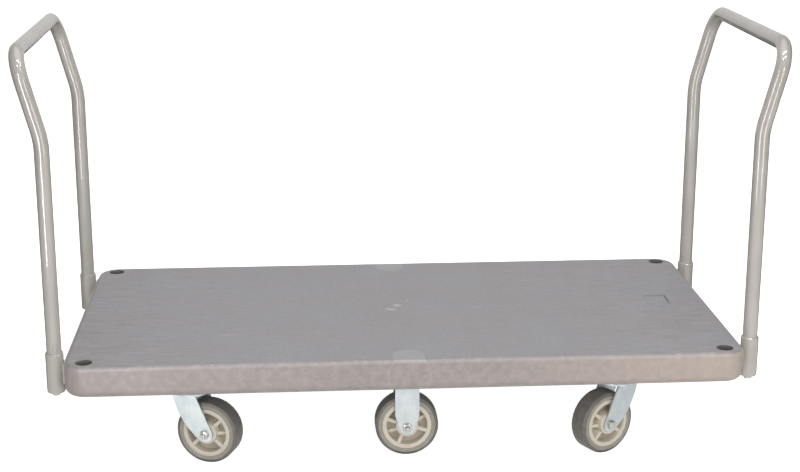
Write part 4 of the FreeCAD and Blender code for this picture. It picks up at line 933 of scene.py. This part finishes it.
# %% Axle bolts with lock nuts
outer_face = 0.0355
axle_radius, axle_flats, axle_pitch, nut_bore = 0.0060, 0.019, 0.00175, 0.0061
washer_radius, washer_top = 0.0100, outer_face + 0.0012
head_shape = joined([
    hexagon(axle_flats, washer_top, outer_face + 0.0075),
    disc(washer_radius, pin_hole, outer_face, washer_top),
    disc(axle_radius, pin_hole, -outer_face, outer_face)])
nut_shape = joined([
    hexagon(axle_flats, outer_face, outer_face + 0.0082, bore=nut_bore, chamfer_low=True),
    disc(0.0082, nut_bore, outer_face + 0.0078, outer_face + 0.0105),
    threaded(axle_radius, outer_face, outer_face + 0.0130, axle_pitch)])
head_turn = Matrix.Rotation(math.radians(-90), 4, "X")
nut_turn = Matrix.Rotation(math.radians(90), 4, "X") @ Matrix.Rotation(math.radians(17), 4, "Z")
for corner, place in caster_places.items():
    points, faces = joined([
        ([place @ turn @ p for p in shape[0]], shape[1])
        for turn, shape in ((head_turn, head_shape), (nut_turn, nut_shape))])
    name = "axle_bolt_" + corner
    show(name, make_mesh(name, points, faces, bolt_zinc, 30.0), "axle_" + corner)
print("axle bolt faces", len(head_shape[1]) + len(nut_shape[1]))

# %% [markdown]
# ## Bolts by the dozen
#
# Twenty-four bolts hold the casters, eight hold the end plates and four hold the handles.
# They are alike, so one is modelled and Geometry Nodes set a copy on each point. The copies
# are made real at the end, because instances are lost on export.

# %% Bolts set on points
setter = PieceNodes("bolts_on_points", {
    "Bolt": "Object", "Turn": "Vector", "Seed": "Int", "Material": "Material"})
bolt_shape = setter.node("ObjectInfo", sockets={"Object": setter.given["Bolt"]}, out="Geometry")
spin = setter.node("FunctionNodeRandomValue", {"data_type": "FLOAT"}, {
    "Max": math.pi / 3, "Seed": setter.given["Seed"]}, out=1)
twist = setter.node("ShaderNodeCombineXYZ", sockets={"Z": spin})
aimed = setter.node("FunctionNodeRotateRotation", {"rotation_space": "LOCAL"}, {
    0: setter.node("FunctionNodeEulerToRotation", sockets={0: setter.given["Turn"]}),
    1: setter.node("FunctionNodeEulerToRotation", sockets={0: twist})})
copies = setter.node("InstanceOnPoints", sockets={
    "Points": setter.given["Geometry"], "Instance": bolt_shape, "Rotation": aimed})
bolt_tree = setter.end(copies)


def bolt_set(name, parts, points, turn, seed):
    """Copies of one bolt on all the points, each turned by its own random angle."""
    sample = placed(
        name + "_sample", make_mesh(name + "_sample", *joined(parts), bolt_zinc, 30.0))
    mesh = grown(name, bolt_tree, points_along(name + "_points", points), {
        "Bolt": sample, "Turn": turn, "Seed": seed, "Material": bolt_zinc})
    bpy.data.objects.remove(sample)
    print(name, len(points), "bolts", len(mesh.polygons), "faces")
    return mesh


# %% Caster bolts
plate_nodes = [
    node for node in frame["nodes"] if node.startswith(("swivel_plate", "rigid_frame"))]
hole_along, hole_aside, plate_thick = 0.046, 0.0335, 0.006
points = []
for node in sorted(plate_nodes):
    low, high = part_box(node)
    middle = (low + high) / 2
    for along in (-hole_along, hole_along):
        for aside in (-hole_aside, hole_aside):
            points.append((middle.x + along, middle.y + aside, high.z - plate_thick))
head_down = (math.pi, 0, 0)
mesh = bolt_set("caster_bolt_set", [
    hexagon(flats=0.016, low=0.0, high=0.0064, steps=36),
    disc(radius=0.0050, bore=pin_hole, low=-0.029, high=0.0, steps=20)],
    points, head_down, seed=3)
show("caster_bolt_set", mesh, "caster_bolts")

# %% Handle bolts with washers
washer_thick = 0.0020
points = []
for node in socket_nodes:
    low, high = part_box(node)
    points.append(((low.x + high.x) / 2, (low.y + high.y) / 2, low.z))
mesh = bolt_set("handle_bolt_set", [
    disc(radius=0.0105, bore=0.0052, low=0.0, high=washer_thick),
    hexagon(flats=0.017, low=washer_thick, high=0.0084),
    threaded(radius=0.0050, low=-0.027, high=washer_thick, pitch=0.0015)],
    points, head_down, seed=5)
show("handle_bolt_set", mesh, "handle_bolts")

# %% End plate bolts
end_holes = (-0.235, -0.085, 0.085, 0.235)
washer_thick = 0.0012
end_meshes = []
for node, outward in (("end_plate_left", -1), ("end_plate_right", 1)):
    low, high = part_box(node)
    outer_x = high.x if outward > 0 else low.x
    points = [(outer_x, y, (low.z + high.z) / 2) for y in end_holes]
    end_meshes.append(bolt_set(node + "_bolts", [
        disc(radius=0.0080, bore=pin_hole, low=0.0, high=washer_thick),
        hexagon(flats=0.013, low=washer_thick, high=0.0055, steps=36),
        threaded(radius=0.0040, low=-0.030, high=0.0, pitch=0.00125, steps=16)],
        points, (0, outward * math.pi / 2, 0), seed=11 + outward))
both_ends = bmesh.new()
for mesh in end_meshes:
    both_ends.from_mesh(mesh)
both_ends.to_mesh(end_meshes[0])
both_ends.free()
end_meshes[0].name = "end_bolt_set"
show("end_bolt_set", end_meshes[0], "end_plate_bolts")

# %% [markdown]
# ## Weld beads
#
# Each socket is welded to its end plate in the two notches beside the line where they
# touch. A bead is a row of overlapping drops, one for each pause of the torch, so the tree
# sets flattened drops along a line, each a little turned and resized.

# %% A tree for weld beads
welder = PieceNodes("weld_bead", {
    "Width": "Float", "Pitch": "Float", "Seed": "Int", "Material": "Material"})
bead_line = welder.node("MeshToCurve", sockets={0: welder.given["Geometry"]})
stops = welder.node("ResampleCurve", {"mode": "LENGTH"}, {
    0: bead_line, "Length": welder.given["Pitch"]})
drop = welder.node("MeshIcoSphere", sockets={"Radius": welder.given["Width"], "Subdivisions": 2})
drop = welder.node("SetShadeSmooth", sockets={0: drop})
flat_drop = welder.node("Transform", sockets={"Geometry": drop, "Scale": (1.0, 1.0, 0.72)})
tilt = welder.node("FunctionNodeRandomValue", {"data_type": "FLOAT_VECTOR"}, {
    0: (-0.25, -0.25, -0.3), 1: (0.25, 0.25, 0.3), "Seed": welder.given["Seed"]})
swell = welder.node("FunctionNodeRandomValue", {"data_type": "FLOAT"}, {
    2: 0.86, 3: 1.08, "Seed": welder.given["Seed"] + 7}, out=1)
drops = welder.node("InstanceOnPoints", sockets={
    "Points": stops, "Instance": flat_drop, "Rotation": tilt, "Scale": swell})
weld_tree = welder.end(drops)

# %% Eight beads
plate_face, bead_out, notch_aside, bead_inset = 0.8050, 0.0016, 0.0088, 0.002
bead_width, bead_pitch = 0.0029, 0.0018
all_beads = bmesh.new()
for index, node in enumerate(socket_nodes):
    low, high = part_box(node)
    middle = (low + high) / 2
    outward = 1 if middle.x > 0 else -1
    plate_low, plate_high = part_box("end_plate_right" if outward > 0 else "end_plate_left")
    for aside in (-1, 1):
        x = outward * (plate_face + bead_out)
        y = middle.y + aside * notch_aside
        line = points_along("bead_line", [
            (x, y, plate_low.z + bead_inset), (x, y, plate_high.z - bead_inset)], [(0, 1)])
        all_beads.from_mesh(grown("bead", weld_tree, line, {
            "Width": bead_width, "Pitch": bead_pitch, "Seed": 20 + 2 * index + aside,
            "Material": paint_finish}))
weld_mesh = bpy.data.meshes.new("socket_welds")
all_beads.to_mesh(weld_mesh)
all_beads.free()
weld_mesh.materials.append(paint_finish)
weld_mesh.shade_smooth()
welds = placed("socket_welds", weld_mesh)
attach(welds, "cart")
print("weld beads", len(weld_mesh.polygons), "faces")

# %% [markdown]
# ## Floor, light and camera
#
# The cart stands on a plain white floor in soft studio light. A warm lamp in front, a lamp
# above, a pale world and a low fill light the shapes. The others exist only as reflections:
# two tall strips and a bank of ceiling lamps draw the crisp lines and dots on paint and
# zinc, a backdrop behind brightens what is seen at a glancing angle, and a card just above
# the floor stands in for the floor's own reflection.

# %% Floor
floor_half = 60.0
floor_paint = Finish("floor_paint")
floor_tone = floor_paint.mix(rgb(250, 250, 250), rgb(247, 247, 247), floor_paint.noise(0.7, 2.0))
floor_finish = floor_paint.finish(
    Base_Color=floor_tone, Roughness=0.9, Specular_IOR_Level=0.1,
    Emission_Color=rgb(255, 255, 255), Emission_Strength=0.86)
floor_corners = [(x * floor_half, y * floor_half, 0) for x, y in (
    (-1, -1), (1, -1), (1, 1), (-1, 1))]
floor = placed("studio_floor", make_mesh(
    "studio_floor", floor_corners, [(0, 1, 2, 3)], floor_finish))
floor.visible_diffuse = False
floor.visible_glossy = False
floor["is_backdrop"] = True
print("floor", round(floor.dimensions.x), "metres across")

# %% A white wall far round the cart
# the camera alone sees it, so it hides the end of the floor and lights nothing
wall_near, wall_far, wall_foot, wall_top = 50.0, 50.2, -1.0, 45.0
wall_paint = Finish("wall_paint")
wall_tone = wall_paint.mix(rgb(255, 255, 255), rgb(252, 252, 252), wall_paint.noise(0.2, 2.0))
wall_finish = wall_paint.finish(
    Base_Color=rgb(20, 20, 20), Roughness=1.0, Specular_IOR_Level=0.0,
    Emission_Color=wall_tone, Emission_Strength=1.0)
wall = placed("studio_wall", make_mesh("studio_wall", *lathe([
    (wall_near, wall_foot), (wall_far, wall_foot), (wall_far, wall_top),
    (wall_near, wall_top)], 64), wall_finish))
wall.visible_diffuse = False
wall.visible_glossy = False
wall.visible_shadow = False
wall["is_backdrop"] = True
print("wall", wall_near, "metres away")

# %% World
world = bpy.data.worlds.new("studio")
world.use_nodes = True
bpy.context.scene.world = world
background = world.node_tree.nodes["Background"].inputs
background["Color"].default_value = (1.0, 1.0, 1.0, 1.0)
background["Strength"].default_value = 0.42
world.cycles_visibility.glossy = False
print("world strength", round(background["Strength"].default_value, 2))


# %% Lamps
def lamp(name, place, aim, width, height, power, colour=(1, 1, 1)):
    """A rectangular soft lamp that points at a spot on the cart."""
    light = bpy.data.lights.new(name, "AREA")
    light.shape = "RECTANGLE"
    light.size = width
    light.size_y = height
    light.energy = power
    light.color = colour
    made = placed(name, light)
    made.location = place
    made.rotation_euler = (Vector(aim) - Vector(place)).to_track_quat("-Z", "Y").to_euler()
    return made


warm_white = (1.0, 0.965, 0.95)
front = lamp("front_lamp", (0.6, -3.2, 1.6), (0.1, 0, 0.2), 2.6, 1.4, 41.0, warm_white)
front.visible_glossy = False
lamp("top_lamp", (0.0, 0.3, 3.4), (0, 0, 0.2), 3.4, 2.2, 40.0)
fill = lamp("low_fill", (0.2, -1.7, 0.03), (0.1, -0.4, 0.2), 3.0, 0.5, 3.5)
fill.visible_camera = False

# %% Lamps that only show as reflections
shining = [
    lamp("left_strip", (-1.2, -2.0, 0.85), (-0.4, 0, 0.85), 0.44, 1.7, 46.0),
    lamp("right_strip", (1.5, -2.9, 0.9), (0, 0, 0.9), 0.45, 1.8, 40.0),
    lamp("backdrop", (0, 4.5, 1.7), (0, 0, 1.0), 9.0, 3.4, 62.0),
    lamp("floor_card", (0.0, -1.8, 0.01), (0.0, -1.8, 1.0), 6.4, 3.4, 84.0)]
bulb_size, bulb_height = 0.42, 4.2
for column in range(3):
    for row in range(2):
        place = (-0.6 + column * 1.1 + row * 0.2, -2.8 + row * 1.4, bulb_height)
        shining.append(lamp(
            f"bulb_{column}_{row}", place, (0, 0, 0.9), bulb_size, bulb_size, 40.0))
for made in shining:
    made.visible_diffuse = False
    made.visible_camera = False

# %% Camera
camera_data = bpy.data.cameras.new("camera")
camera_data.sensor_width = 36.0
camera_data.lens = 70.207
camera = placed("camera", camera_data)
right = Vector((0.997690, -0.067936, -0.000303))
down = Vector((-0.018426, -0.266304, -0.963713))
forward = Vector((0.065390, 0.961492, -0.266940))
view = Matrix((right, -down, -forward)).transposed().to_4x4()
view.translation = (-0.253706, -3.801558, 1.517096)
camera.matrix_world = view
bpy.context.scene.camera = camera
bpy.context.scene.view_settings.view_transform = "Standard"
print("camera height", round(camera.location.z, 3))

# %% [markdown]
# ## The size of the scene
#
# The visual size of the finished cart is printed.

# %% Sizes and the end of the scene
low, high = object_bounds()
print("visual size", [round(v, 4) for v in high - low])
